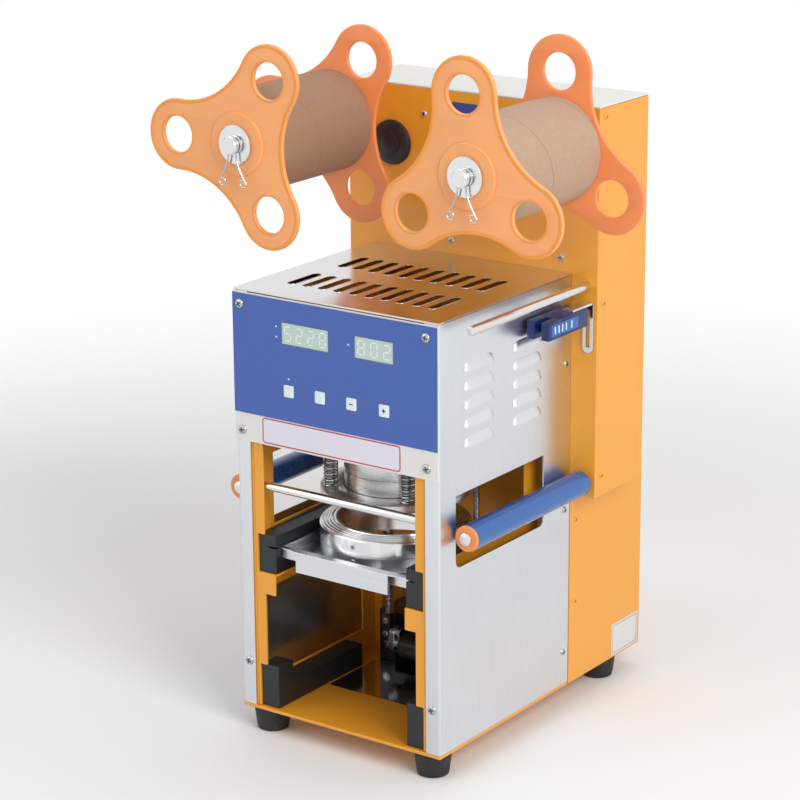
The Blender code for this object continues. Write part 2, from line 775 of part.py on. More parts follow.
def tray():
    """The sliding tray: rim, basin, folded lip, cup hole and the two notches for the lift rods."""
    wall_out = TRAY_BASIN_HALF + TRAY_SHEET
    rim = [
        (-TRAY_LIP_HALF, TRAY_FRONT), (TRAY_LIP_HALF, TRAY_FRONT),
        (TRAY_RIM_HALF, TRAY_SHOULDER), (TRAY_RIM_HALF, TRAY_REAR),
        (TRAY_BASIN_HALF, TRAY_REAR), (TRAY_BASIN_HALF, TRAY_BASIN_FRONT),
        (-TRAY_BASIN_HALF, TRAY_BASIN_FRONT), (-TRAY_BASIN_HALF, TRAY_REAR),
        (-TRAY_RIM_HALF, TRAY_REAR), (-TRAY_RIM_HALF, TRAY_SHOULDER),
    ]
    part = make("tray", sheet([rim], "XY", TRAY_RIM_Z, TRAY_SHEET), STEEL, (0, 0, TRAY_RIM_Z))
    half_rim = TRAY_RIM_Z + TRAY_SHEET / 2
    basin = [
        (-wall_out, TRAY_FLOOR_Z), (wall_out, TRAY_FLOOR_Z),
        (wall_out, half_rim), (TRAY_BASIN_HALF, half_rim),
        (TRAY_BASIN_HALF, TRAY_FLOOR_Z + TRAY_SHEET), (-TRAY_BASIN_HALF, TRAY_FLOOR_Z + TRAY_SHEET),
        (-TRAY_BASIN_HALF, half_rim), (-wall_out, half_rim),
    ]
    start = TRAY_BASIN_FRONT - TRAY_SHEET
    add(part, "basin", sheet([basin], "XZ", start, TRAY_REAR - start))
    wall = box((-wall_out, wall_out), (start, TRAY_BASIN_FRONT), (TRAY_FLOOR_Z, half_rim))
    add(part, "front_wall", wall)
    fold = (TRAY_FRONT, TRAY_FRONT + TRAY_SHEET)
    add(part, "lip", box((-TRAY_LIP_HALF, TRAY_LIP_HALF), fold, (TRAY_LIP_LOW, half_rim)))
    below = TRAY_FLOOR_Z - PAST
    tall = TRAY_SHEET + 2 * PAST
    cut(part, "cup_hole", rod((0, MOLD_Y, below), "Z", tall, TRAY_HOLE_RADIUS, 48))
    notches = []
    for side in (-1, 1):
        across = (side * ROD_X - NOTCH_HALF, side * ROD_X + NOTCH_HALF)
        notches.append(box(across, (NOTCH_FRONT, TRAY_REAR + PAST), (below, below + tall)))
    cut(part, "rod_notches", group(notches))


def ridged_top():
    """The ring's top, from its bore out over the rim and down over its ridges."""
    points = [(RING_BORE, RING_TOP), (RIM_RADIUS, RIM_TOP)]
    rise = (RIM_TOP - RING_TOP) / RIDGES
    for ridge in reversed(range(RIDGES)):
        outer = MOLD_RADIUS - ridge * RIDGE_PITCH
        inner = outer - RIDGE_PITCH
        height = RING_TOP + ridge * rise
        points += [(inner + RIDGE_GROOVE, height - RIDGE_GROOVE), (outer, height)]
    return points


def mold():
    """The mold's plain lower body and its ridged upper ring."""
    centre = (0, MOLD_Y, 0)
    floor = TRAY_FLOOR_Z + TRAY_SHEET + SEAT
    make("mold_body", ring(MOLD_RADIUS, MOLD_BORE, floor, MOLD_SEAM, centre, steps=40), ALUMINIUM)
    bottom = MOLD_SEAM + SEAT
    profile = ridged_top() + [(MOLD_RADIUS, bottom), (RING_BORE, bottom)]
    make("mold_ring", turned(profile, True, centre, steps=40), ALUMINIUM)


# Sealing head

def corners():
    """The four places of the head's posts."""
    return [(side * POST_SPACING_X / 2, y) for y in (POST_FRONT_Y, POST_REAR_Y) for side in (-1, 1)]


def sealing_head():
    """The head plate, the heater, the four posts, and the sprung presser on them."""
    half = HEAD_PLATE_HALF
    seated = HEAD_PLATE_LOW + HEAD_PLATE_THICKNESS / 2
    outline = rectangle(-half, half, HEAD_PLATE_FRONT, HEAD_PLATE_REAR)
    holes = [circle((side * COLUMN_X, MOLD_Y), COLUMN_RADIUS + RUN) for side in (-1, 1)]
    flat = sheet([outline] + holes, "XY", HEAD_PLATE_LOW, HEAD_PLATE_THICKNESS)
    plate = make("head_plate", flat, ALUMINIUM, (0, MOLD_Y, HEAD_PLATE_LOW))
    top = HEAD_PLATE_LOW - SEAT
    heater = [(0, top), (HEATER_NECK, top), (HEATER_NECK, HEATER_HIGH), (HEATER_RADIUS, HEATER_HIGH),
              (HEATER_RADIUS, HEATER_LOW), (0, HEATER_LOW)]
    centre = (0, MOLD_Y, 0)
    make("heater_block", turned(heater, False, centre, steps=40), ALUMINIUM, (0, MOLD_Y, HEATER_LOW))
    posts = []
    nut_top = PRESSER_LOW - SEAT
    nut_low = nut_top - POST_NUT_HEIGHT
    post = [(0, seated), (POST_RADIUS, seated), (POST_RADIUS, nut_top), (POST_NUT_RADIUS, nut_top),
            (POST_NUT_RADIUS, nut_low), (0, nut_low)]
    presser_high = PRESSER_LOW + PRESSER_THICKNESS
    for number, (x, y) in enumerate(corners(), 1):
        posts.append(turned(post, False, (x, y, 0), steps=12))
        spring = coil(x, y, presser_high + SEAT, top, SPRING_RADIUS, SPRING_WIRE, SPRING_TURNS)
        make("presser_spring_%d" % number, spring, STEEL, (x, y, top))
    add(plate, "posts", group(posts))
    outline = circle((0, MOLD_Y), PRESSER_RADIUS, 40)
    bore = circle((0, MOLD_Y), HEATER_RADIUS + 2 * RUN, 40)
    sockets = [circle(corner, POST_RADIUS + RUN, 12) for corner in corners()]
    make("presser_plate", sheet([outline, bore] + sockets, "XY", PRESSER_LOW, PRESSER_THICKNESS), STEEL,
         (0, MOLD_Y, PRESSER_LOW))


def bridge():
    """The fixed plate above the head with the two columns that guide it."""
    half = BODY_WIDTH / 2 - FRAME_INSET - FRAME_SHEET - SEAT
    low = BRIDGE_LEDGE_Z + LEDGE_THICKNESS + SEAT
    span = box((-half, half), (BRIDGE_FRONT, BRIDGE_REAR), (low, low + BRIDGE_THICKNESS))
    plate = make("bridge_plate", span, STEEL)
    top = low + BRIDGE_THICKNESS / 2
    starts = [(side * COLUMN_X, MOLD_Y, COLUMN_LOW) for side in (-1, 1)]
    columns = [rod(start, "Z", top - COLUMN_LOW, COLUMN_RADIUS) for start in starts]
    add(plate, "columns", group(columns))


# Lift drive

def lift_rods():
    """The two threaded rods with their nuts, springs and links down to the crank."""
    top = HEAD_PLATE_LOW - SEAT
    foot = (LINK_LOW + LINK_HIGH) / 2
    nut_high = NUT_LOW + NUT_HEIGHT
    profile = [(0, top), (ROD_RADIUS, top), (ROD_RADIUS, nut_high), (NUT_RADIUS, nut_high),
               (NUT_RADIUS, NUT_LOW), (ROD_RADIUS, NUT_LOW), (ROD_RADIUS, foot), (0, foot)]
    half = LINK_THICKNESS / 2
    ends = (ROD_Y - LINK_WIDTH / 2, ROD_Y + LINK_WIDTH / 2)
    for name, side in (("left", -1), ("right", 1)):
        x = side * ROD_X
        shape = turned(profile, False, (x, ROD_Y, 0), steps=12)
        bar = make("lift_rod_" + name, shape, STEEL, (x, ROD_Y, top))
        add(bar, "link", box((x - half, x + half), ends, (LINK_LOW, LINK_HIGH)))
        seat = LINK_HIGH + SEAT
        spring = coil(x, ROD_Y, seat, NUT_LOW - SEAT, ROD_SPRING_RADIUS, ROD_SPRING_WIRE, ROD_SPRING_TURNS)
        make("rod_spring_" + name, spring, STEEL, (x, ROD_Y, seat))


def crank():
    """The cross shaft with a crank arm at each end, its throw upright at rest."""
    outer = ROD_X - LINK_THICKNESS / 2 - RUN
    inner = outer - CRANK_ARM
    axis = (0, ROD_Y, CRANK_Z)
    shaft = make("crank_shaft", rod((-inner - CRANK_ARM / 2, ROD_Y, CRANK_Z), "X", 2 * inner + CRANK_ARM,
                                    SHAFT_RADIUS), STEEL, axis)
    lean = (CRANK_HUB_RADIUS - CRANK_EYE_RADIUS) / CRANK_THROW
    tilt = atan2(lean, (1 - lean * lean) ** 0.5)
    pin_z = CRANK_Z + CRANK_THROW
    outline = arc((ROD_Y, pin_z), CRANK_EYE_RADIUS, tilt, pi - 2 * tilt, 10)
    outline += arc((ROD_Y, CRANK_Z), CRANK_HUB_RADIUS, pi - tilt, pi + 2 * tilt, 14)
    for name, side in (("left", -1), ("right", 1)):
        add(shaft, "arm_" + name, sheet([outline], "YZ", min(side * inner, side * outer), CRANK_ARM))
        start = inner - CRANK_BOLT_HEIGHT
        length = CRANK_BOLT_HEIGHT + CRANK_ARM / 2
        low = start if side > 0 else -start - length
        add(shaft, "bolt_" + name, rod((low, ROD_Y, pin_z), "X", length, CRANK_BOLT_RADIUS, 6))


def gear_motor():
    """The gear motor: its box, its two feet and the long bearing for the cross shaft."""
    pan_top = BASE_THICKNESS - PAN_RECESS + SEAT + PAN_THICKNESS + SEAT
    deep = (GEARBOX_FRONT, GEARBOX_REAR)
    case = box((-GEARBOX_HALF, GEARBOX_HALF), deep, (GEARBOX_LOW, GEARBOX_HIGH))
    motor = make("gear_motor", case, BLACK)
    feet = []
    for side in (-1, 1):
        across = sorted((side * GEARBOX_HALF, side * (GEARBOX_HALF - GEARBOX_FOOT)))
        feet.append(box(across, deep, (pan_top, GEARBOX_LOW + SEAT)))
    add(motor, "feet", group(feet))
    axis = (-BEARING_HALF, ROD_Y, CRANK_Z)
    add(motor, "bearing", rod(axis, "X", 2 * BEARING_HALF, BEARING_RADIUS, 24))
    bore_start = (-GEARBOX_HALF - PAST, ROD_Y, CRANK_Z)
    cut(motor, "bore", rod(bore_start, "X", 2 * (GEARBOX_HALF + PAST), SHAFT_RADIUS + SEAT, 24))


# Column and cabinet

def column():
    """The tall hollow column, its cap, the black boss, and the cabinet under it."""
    half = COLUMN_HALF
    outside = box((-half, half), (COLUMN_FRONT, COLUMN_BACK), (COLUMN_BOTTOM, COLUMN_TOP))
    shell = make("column_shell", outside, ORANGE)
    inside = (COLUMN_FRONT + SHEET, COLUMN_BACK - SHEET)
    low = COLUMN_BOTTOM + SHEET
    cut(shell, "inside", box((-half + SHEET, half - SHEET), inside, (low, COLUMN_TOP + PAST)))
    cap = (COLUMN_TOP + SEAT, COLUMN_TOP + SEAT + COLUMN_CAP)
    make("column_cap", box((-half, half), (COLUMN_FRONT, COLUMN_BACK), cap), CREAM)
    boss_start = (BOSS_X, COLUMN_FRONT - SEAT - BOSS_HEIGHT, BOSS_Z)
    make("column_boss", rod(boss_start, "Y", BOSS_HEIGHT, BOSS_RADIUS, 32), BLACK)
    side = BODY_WIDTH / 2
    outside = box((-side, side), (CABINET_FRONT, CABINET_BACK), (0, CABINET_TOP))
    cabinet = make("lower_cabinet", outside, ORANGE)
    hollow = (CABINET_FRONT + SHEET, CABINET_BACK - SHEET)
    cut(cabinet, "inside", box((-side + SHEET, side - SHEET), hollow, (SHEET, CABINET_TOP - SHEET)))
    cut(cabinet, "inlet_hole", box(inlet_span(SEAT), (CABINET_BACK - 2 * SHEET, CABINET_BACK + PAST),
                                   inlet_rise(SEAT)))


def inlet_span(clearance):
    """The inlet's two sides, with a clearance."""
    half = INLET_WIDTH / 2 + clearance
    return (INLET_X - half, INLET_X + half)


def inlet_rise(clearance):
    """The inlet's bottom and top, with a clearance."""
    half = INLET_HEIGHT / 2 + clearance
    return (INLET_Z - half, INLET_Z + half)


def power_inlet():
    """The power inlet in the cabinet's back: its body, its rim and its socket."""
    start = CABINET_BACK - INLET_DEPTH
    rim_start = CABINET_BACK + SEAT
    rim_end = rim_start + SHEET
    inlet = make("power_inlet", box(inlet_span(0), (start, rim_end - SEAT), inlet_rise(0)), BLACK)
    add(inlet, "rim", box(inlet_span(INLET_RIM), (rim_start, rim_end), inlet_rise(INLET_RIM)))
    deep = (start + INLET_RIM, rim_end + PAST)
    cut(inlet, "socket", box(inlet_span(-INLET_RIM), deep, inlet_rise(-INLET_RIM)))


# Film reels

def polar(radius, angle):
    """A point at the given radius and angle."""
    return Vector((radius * cos(angle), radius * sin(angle)))


def reel_outline(phase):
    """Three round lobes joined by hollow arcs that touch them."""
    offset = REEL_LOBE_RADIUS - REEL_WAIST
    notch_distance = (REEL_HOLE_CIRCLE ** 2 - offset ** 2) / (REEL_HOLE_CIRCLE + 2 * offset)
    notch_radius = notch_distance - REEL_WAIST
    points = []
    for lobe in range(3):
        heading = phase + lobe * 2 * pi / 3
        centre = polar(REEL_HOLE_CIRCLE, heading)
        following = polar(REEL_HOLE_CIRCLE, heading + 2 * pi / 3)
        before = polar(notch_distance, heading - pi / 3)
        after = polar(notch_distance, heading + pi / 3)
        start = atan2(*(before - centre).yx)
        sweep = (atan2(*(after - centre).yx) - start) % (2 * pi)
        points += arc(centre, REEL_LOBE_RADIUS, start, sweep, 12)
        start = atan2(*(centre - after).yx)
        sweep = (start - atan2(*(following - after).yx)) % (2 * pi)
        points += arc(after, notch_radius, start, -sweep, 6)[1:-1]
    return points


def reel_plate(name, x, front, facing, phase):
    """A three-lobed reel plate with its raised hub outside and its spigot inside."""
    centre = (x, 0, REEL_Z)
    bore = REEL_SHAFT_RADIUS + RUN
    outlines = [reel_outline(phase)]
    for lobe in range(3):
        outlines.append(circle(polar(REEL_HOLE_CIRCLE, phase + lobe * 2 * pi / 3), REEL_HOLE_RADIUS, 18))
    shape = sheet(outlines, "XZ", front, REEL_PLATE)
    shape.transform(Matrix.Translation(centre))
    plate = make(name, shape, REEL, (x, front, REEL_Z))
    back = front + REEL_PLATE
    middle = front + REEL_PLATE / 2
    hub_face = front - REEL_HUB_HEIGHT if facing < 0 else back + REEL_HUB_HEIGHT
    hub_start, hub_end = sorted((middle, hub_face))
    inside = sorted((middle, back + SPIGOT_DEPTH if facing < 0 else front - SPIGOT_DEPTH))
    spigot = CORE_RADIUS - CORE_WALL - SEAT
    add(plate, "hub", rod((x, hub_start, REEL_Z), "Y", hub_end - hub_start, REEL_HUB_RADIUS, 20))
    add(plate, "spigot", ring(spigot, spigot - SPIGOT_WALL, *inside, centre, "Y", 20))
    bore_start = front - REEL_HUB_HEIGHT - PAST
    bore_length = REEL_PLATE + 2 * (REEL_HUB_HEIGHT + PAST)
    cut(plate, "bore", rod((x, bore_start, REEL_Z), "Y", bore_length, bore, 20))


def clip_points(x, y):
    """A hairpin clip: over the shaft's groove, down two spread legs, a loop at each end."""
    seat = GROOVE_RADIUS + CLIP_WIRE / 2
    over = arc((0, 0), seat, radians(-50), radians(280), 10)
    legs = []
    for side in (1, -1):
        end = (side * CLIP_SPREAD, -CLIP_LEG)
        loop = arc((end[0] - side * CLIP_LOOP, end[1]), CLIP_LOOP, 0, -side * radians(250), 5)
        if side < 0:
            loop = arc((end[0] + CLIP_LOOP, end[1]), CLIP_LOOP, pi, radians(250), 5)
        legs.append([(side * CLIP_SPREAD * 0.3, -CLIP_LEG * 0.45)] + loop)
    path = legs[0][::-1] + over + legs[1]
    return [(x + across, y, REEL_Z + up) for across, up in path]


def reels():
    """Both reels with their cores, their fixed shafts and their clips."""
    clip_y = GROOVE_FRONT + GROOVE_WIDTH / 2
    for name, side in (("left", -1), ("right", 1)):
        x = side * REEL_X
        front, rear = (radians(phase) for phase in REEL_PHASES[name])
        reel_plate("reel_front_" + name, x, REEL_FRONT_Y, -1, front)
        reel_plate("reel_rear_" + name, x, REEL_REAR_Y, 1, rear)
        centre = (x, 0, REEL_Z)
        core_ends = (REEL_FRONT_Y + REEL_PLATE + SEAT, REEL_REAR_Y - SEAT)
        core = ring(CORE_RADIUS, CORE_RADIUS - CORE_WALL, *core_ends, centre, "Y", 28)
        make("film_core_" + name, core, CARD, (x, core_ends[0], REEL_Z))
        washer_rear = REEL_FRONT_Y - REEL_HUB_HEIGHT - SEAT
        washer_front = washer_rear - WASHER_THICKNESS
        foot_rear = COLUMN_FRONT - SEAT
        foot_front = foot_rear - SHAFT_FOOT_LENGTH
        groove_rear = GROOVE_FRONT + GROOVE_WIDTH
        profile = [
            (0, foot_rear), (SHAFT_FOOT_RADIUS, foot_rear), (SHAFT_FOOT_RADIUS, foot_front),
            (REEL_SHAFT_RADIUS, foot_front), (REEL_SHAFT_RADIUS, washer_rear),
            (WASHER_RADIUS, washer_rear), (WASHER_RADIUS, washer_front),
            (REEL_SHAFT_RADIUS, washer_front), (REEL_SHAFT_RADIUS, groove_rear),
            (GROOVE_RADIUS, groove_rear), (GROOVE_RADIUS, GROOVE_FRONT), (REEL_SHAFT_RADIUS, GROOVE_FRONT),
            (REEL_SHAFT_RADIUS, REEL_SHAFT_FRONT), (0, REEL_SHAFT_FRONT),
        ]
        shape = turned(profile, False, centre, "Y", 16)
        shaft = make("reel_shaft_" + name, shape, STEEL, (x, foot_rear, REEL_Z))
        add(shaft, "clip", wire(clip_points(x, clip_y), CLIP_WIRE))


# Rollers, guide rod and sensor

def rollers():
    """A film roller on each side, turning on an axle fixed to the column."""
    rear = COLUMN_FRONT - SEAT
    collar_front = rear - AXLE_COLLAR
    head_rear = ROLLER_FRONT - SEAT
    head_front = head_rear - AXLE_HEAD_HEIGHT
    for name, side in (("left", -1), ("right", 1)):
        centre = (side * ROLLER_X, 0, ROLLER_Z)
        tube = ring(ROLLER_RADIUS, ROLLER_BORE, ROLLER_FRONT, collar_front - SEAT, centre, "Y", 24)
        make("film_roller_" + name, tube, BLUE, (side * ROLLER_X, ROLLER_FRONT, ROLLER_Z))
        profile = [
            (0, rear), (AXLE_HEAD_RADIUS, rear),
            (AXLE_HEAD_RADIUS, collar_front), (AXLE_RADIUS, collar_front),
            (AXLE_RADIUS, head_rear), (AXLE_HEAD_RADIUS, head_rear),
            (AXLE_HEAD_RADIUS, head_front), (0, head_front),
        ]
        make("roller_axle_" + name, turned(profile, False, centre, "Y", 14), STEEL, centre)
    guide = rod((GUIDE_X, GUIDE_FRONT, GUIDE_Z), "Y", COLUMN_FRONT - SEAT - GUIDE_FRONT, GUIDE_RADIUS, 24)
    make("guide_rod", guide, STEEL)


def sensor():
    """The forked film sensor and the slotted bracket that holds it to the column."""
    body_front = SENSOR_REAR - SENSOR_BODY
    rise = (SENSOR_LOW, SENSOR_HIGH)
    body = make("film_sensor", box((SENSOR_INNER, SENSOR_OUTER), (body_front, SENSOR_REAR), rise), BLUE)
    half = (SENSOR_OUTER - SENSOR_INNER - SENSOR_GAP) / 2
    reach = (body_front - SENSOR_PRONG, body_front + SEAT)
    prongs = [
        box((SENSOR_INNER, SENSOR_INNER + half), reach, rise),
        box((SENSOR_OUTER - half, SENSOR_OUTER), reach, rise),
    ]
    add(body, "prongs", group(prongs))
    radius = (BRACKET_OUTER - BRACKET_INNER) / 2
    middle = BRACKET_INNER + radius
    top = SENSOR_HIGH + SEAT + BRACKET_THICKNESS
    strip = [(BRACKET_OUTER, top), (BRACKET_INNER, top)]
    strip += arc((middle, BRACKET_LOW + radius), radius, pi, pi, 10)
    slot_half = BRACKET_SLOT / 2
    slot_low = BRACKET_LOW + radius
    slot_high = SENSOR_HIGH - radius
    slot = rectangle(middle - slot_half, middle + slot_half, slot_low, slot_high)
    rear = COLUMN_FRONT - SEAT
    front = rear - BRACKET_THICKNESS
    bracket = make("sensor_bracket", sheet([strip, slot], "XZ", front, BRACKET_THICKNESS), STEEL)
    reach = (SENSOR_REAR - SENSOR_BODY / 2, rear)
    leg = box((BRACKET_INNER, BRACKET_OUTER), reach, (SENSOR_HIGH + SEAT, top))
    add(bracket, "leg", leg)


base()
side_cover("side_cover_left", -1)
side_cover("side_cover_right", 1)
top_cover()
panel()
control_board()
inner_frame("inner_frame_left", -1)
inner_frame("inner_frame_right", 1)
rails()
tray()
mold()
sealing_head()
bridge()
lift_rods()
crank()
gear_motor()
column()
power_inlet()
reels()
rollers()
sensor()
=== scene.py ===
"""Dresses the cup sealing machine: finishes, fine pieces, floor, light and camera.

The machine stands on its feet at z = 0, faces -Y and has its right side towards +X.
Sizes are in metres. Places come from the CAD frame, so every piece sits where its node is.
"""

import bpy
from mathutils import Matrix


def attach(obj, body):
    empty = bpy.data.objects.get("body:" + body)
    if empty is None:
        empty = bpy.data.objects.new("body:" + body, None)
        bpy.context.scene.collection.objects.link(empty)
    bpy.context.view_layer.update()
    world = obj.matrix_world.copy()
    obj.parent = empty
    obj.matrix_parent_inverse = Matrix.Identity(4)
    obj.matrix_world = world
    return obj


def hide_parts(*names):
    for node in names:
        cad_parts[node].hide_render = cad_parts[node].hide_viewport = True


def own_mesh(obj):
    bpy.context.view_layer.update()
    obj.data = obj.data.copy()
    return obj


bl_info = {
    "name": "Cup Sealing Machine Dressing",
    "version": (1, 0, 0),
    "blender": (4, 5, 0),
    "location": "3D View > Sidebar > Sealer",
    "description": "Builds the visible pieces and finishes of a cup sealing machine",
    "category": "Object",
}

from math import atan2, cos, pi, radians, sin

import bmesh
import bpy
from mathutils import Matrix, Vector

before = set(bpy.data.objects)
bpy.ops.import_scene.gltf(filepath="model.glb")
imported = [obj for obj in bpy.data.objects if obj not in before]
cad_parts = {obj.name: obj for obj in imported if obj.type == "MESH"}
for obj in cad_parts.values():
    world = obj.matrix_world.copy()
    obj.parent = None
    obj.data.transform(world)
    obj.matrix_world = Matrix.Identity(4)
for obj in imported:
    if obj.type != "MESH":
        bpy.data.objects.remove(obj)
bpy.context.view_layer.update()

# Where the body's front edge and its underside stand in the frame
FRONT_Y = -0.1675
BASE_Z = 0.023

# Camera of the photograph
CAMERA_PLACE = (1.3622, -1.9639, 1.0140)
CAMERA_AZIMUTH = 35.21
CAMERA_ELEVATION = 16.81
CAMERA_ROLL = -0.25
CAMERA_LENS = 122.36
CAMERA_SHIFT = (-0.03, 0.0008)

# Shared measures
LIFT = 0.0003


def spot(x, y, z):
    """A point counted from the body's front edge and underside, in the frame."""
    return Vector((x, y + FRONT_Y, z + BASE_Z))


# Where things sit, counted from the body's front edge and its underside.
# Body and side covers; the window is (front, rear, low, high)
BODY_HALF = 0.110
BODY_DEPTH = 0.2083
COVER_LOW = 0.0033
COVER_HIGH = 0.3945
SHEET = 0.0012
POST_WIDTH = 0.015
BEND = 0.0022
WINDOW = (0.0246, 0.1645, 0.1708, 0.2373)
WINDOW_CORNER = 0.007
LOUVER_COLUMNS = (0.060, 0.1357)
LOUVER_SHEET = 0.0006
# Painted shade under each louver: a black strip at its mouth, its offsets counted from the mouth and its
# ends shares of the louver's length
SHADOW_STRIP_OFFSETS = (-0.0009, 0.0005)
SHADOW_STRIP_ENDS = (-0.45, 0.46)
SHADOW_STRIP_RISE = 0.0002

# Top cover, frame hems, front bar (depth, height) and feet
TOP_LOW = 0.3948
TOP_SHEET = 0.0015
TOP_SKIN = 0.0006
SLOT_ROWS = ((0.036, 0.080), (0.110, 0.152))
SLOT_COUNT = 10
SLOT_PITCH = 0.01687
HEM_ENDS = (0.0931, 0.1)
HEM_RISE = (COVER_LOW + 0.0002, 0.2565)
HEM_FRONT = 0.0018
BAR = (0.008, 0.215)
BAR_HALF = 0.0907
BAR_RADIUS = 0.004
FOOT_PLACES = [(x, y) for y in (0.018, 0.295) for x in (-0.090, 0.090)]

# Control panel; the label is (left, right, low, high), a dot is (across, up)
PANEL_FACE = -0.0015
FILM_FACE = -0.0021
PRINT = 0.0002
LABEL = (-0.0793, 0.0708, 0.2588, 0.2822)
DOTS = ((-0.0615, 0.3685), (-0.0615, 0.3590), (0.0168, 0.3640), (-0.0486, 0.3225))
DISPLAYS = ((-0.0555, -0.0050, "5228"), (0.0235, 0.0640, "802"))
DISPLAY_RISE = (0.3534, 0.3730)
DIGIT_ASPECT = 0.52
KEY_Z = 0.3112
KEY_FACE = -0.0029
KEY_RIM = 0.001
MARK_HALF = 0.0019
MARK_STROKE = 0.0005
KEY_CENTRES = {"key_power": -0.0486, "key_set": -0.0145, "key_minus": 0.0195, "key_plus": 0.0543}

# Mold with its ring and grub screws
MOLD_Y = 0.089
MOLD_RADIUS = 0.0691
MOLD_BORE = 0.050
MOLD_FLOOR = 0.1493
MOLD_SEAM = 0.163
RING_TOP = 0.1778
RIM_TOP = 0.1808
RIM_RADIUS = 0.056
RING_BORE = 0.0474
GRUB_ANGLE = radians(-88)
GRUB_HEIGHTS = (0.1705, 0.1562)

# Sealing head, presser and lift rods; the head plate is (left, right, front, rear)
HEATER_RADIUS = 0.0463
HEATER_LOW = 0.2025
HEATER_HIGH = 0.250
HEAD_PLATE = (-0.062, 0.062, 0.030, 0.160)
HEAD_PLATE_LOW = 0.262
HEAD_PLATE_HIGH = 0.268
PRESSER_RADIUS = 0.068
PRESSER_LOW = 0.2045
PRESSER_HIGH = 0.212
POSTS = [(x, y) for y in (0.0488, 0.1292) for x in (-0.0425, 0.0425)]
ROD_X = 0.0495
ROD_Y = 0.146
ROD_RADIUS = 0.003
NUT_LOW = 0.139
NUT_HIGH = 0.1495
LINK_LOW = 0.032
LINK_HIGH = 0.057
LINK_HALF = 0.006

# Column and cabinet; the inlet and its pins are (across, up)
COLUMN_HALF = 0.1366
COLUMN_FRONT = 0.2086
COLUMN_BACK = 0.2920
CABINET_BACK = 0.3380
BOSS = (-0.087, COLUMN_FRONT - 0.0063, 0.4935)
NAME_PLATE = (-0.020, 0.020, 0.515, 0.538)
RATING_PLATE = (0.287, 0.3345, 0.002, 0.034)
INLET = (-0.060, 0.060)
INLET_PINS = ((INLET[0] - 0.006, INLET[1] - 0.002), (INLET[0] + 0.006, INLET[1] - 0.002),
              (INLET[0], INLET[1] + 0.0025))

# Reels; the phases are degrees, for the front plate and the rear plate
REEL_X = 0.12165
REEL_Z = 0.5185
REEL_FRONT_Y = 0.025
REEL_REAR_Y = 0.160
REEL_PHASES = {"left": (59.1, 58.4), "right": (93.8, 87.5)}
CORE_RADIUS = 0.0465
CORE_WALL = 0.004
SHAFT_RADIUS = 0.008
GROOVE_RADIUS = 0.0064
CLIP_Y = 0.017
REEL_BORE = SHAFT_RADIUS + 0.0005

# Rollers, guide rod (across, up) and sensor; the sensor's bar marks are depths, and their white is a
# painted highlight on embossed bars
ROLLER_X = 0.124
ROLLER_Z = 0.2025
ROLLER_RADIUS = 0.0117
ROLLER_BORE = 0.0045
ROLLER_FRONT = 0.020
ROLLER_REAR = 0.204
GUIDE = (0.126, 0.387)
SENSOR_SIDES = (0.113, 0.136)
SENSOR_RISE = (0.3545, 0.3710)
SENSOR_BAR_HIGHLIGHTS = (0.139, 0.145, 0.151, 0.157, 0.166)

# Screws as (across, up); a spin is the greatest random turn in radians
PANEL_SCREWS = ((-0.102, 0.383), (0.098, 0.3827), (-0.1021, 0.267), (0.0982, 0.267))
COLUMN_SCREWS = ((-0.0511, 0.5235), (-0.0211, 0.4094), (0.098, 0.4094))
SPIN_SEED = 7
SCREW_SPIN = 3.0
BOLT_SPIN = 1.0

# Sides of the machine, and the ways that small pieces face
SIDES = (("left", -1), ("right", 1))
UP = (0, 0, 1)
OUTWARD = (1, 0, 0)
FORWARD = (0, -1, 0)
BACKWARD = (0, 1, 0)

# Floor and lamps: where the floor starts and ends to fade, and what the lamps point at
FLOOR_FADE = (0.55, 1.6)
LAMP_AIM = (0, 0, 0.3)


# Shader node groups

class Nodes:
    """A short way to lay out one node tree."""

    def __init__(self, tree):
        self.tree = tree

    def add(self, kind, settings=None, **sockets):
        """Add a node, set its own settings, then feed or set its inputs."""
        node = self.tree.nodes.new(kind)
        for name, value in (settings or {}).items():
            setattr(node, name, value)
        for name, value in sockets.items():
            self.feed(node, name.replace("_", " "), value)
        return node

    def feed(self, node, name, value):
        """Link an output to a named input, or set its value."""
        numbered = name[0] == "i" and name[1:].isdigit()
        socket = node.inputs[int(name[1:])] if numbered else node.inputs[name]
        if isinstance(value, bpy.types.NodeSocket):
            self.tree.links.new(value, socket)
        else:
            socket.default_value = value

    def math(self, operation, first, second=0.0, clamp=False):
        """A maths node's result."""
        node = self.add("ShaderNodeMath", {"operation": operation, "use_clamp": clamp}, i0=first, i1=second)
        return node.outputs[0]

    def ramp(self, factor, stops):
        """A ramp's grey, from (position, grey) stops."""
        node = self.add("ShaderNodeValToRGB", i0=factor)
        elements = node.color_ramp.elements
        while len(elements) < len(stops):
            elements.new(0.5)
        for element, (position, grey) in zip(elements, stops):
            element.position = position
            element.color = (grey, grey, grey, 1)
        return node.outputs["Color"]

    def mix(self, factor, first, second, blend="MIX"):
        """Two colours mixed."""
        node = self.add("ShaderNodeMix", {"data_type": "RGBA", "blend_type": blend})
        self.feed(node, "i0", factor)
        self.feed(node, "i6", first)
        self.feed(node, "i7", second)
        return node.outputs[2]

    def noise(self, vector, scale, detail=3.0, roughness=0.55):
        """Plain noise on the given place."""
        node = self.add("ShaderNodeTexNoise", Vector=vector, Scale=scale, Detail=detail,
                        Roughness=roughness)
        return node.outputs["Fac"]

    def stretch(self, vector, scale):
        """The same place, scaled by its own amount along each axis."""
        return self.add("ShaderNodeMapping", Vector=vector, Scale=scale).outputs["Vector"]


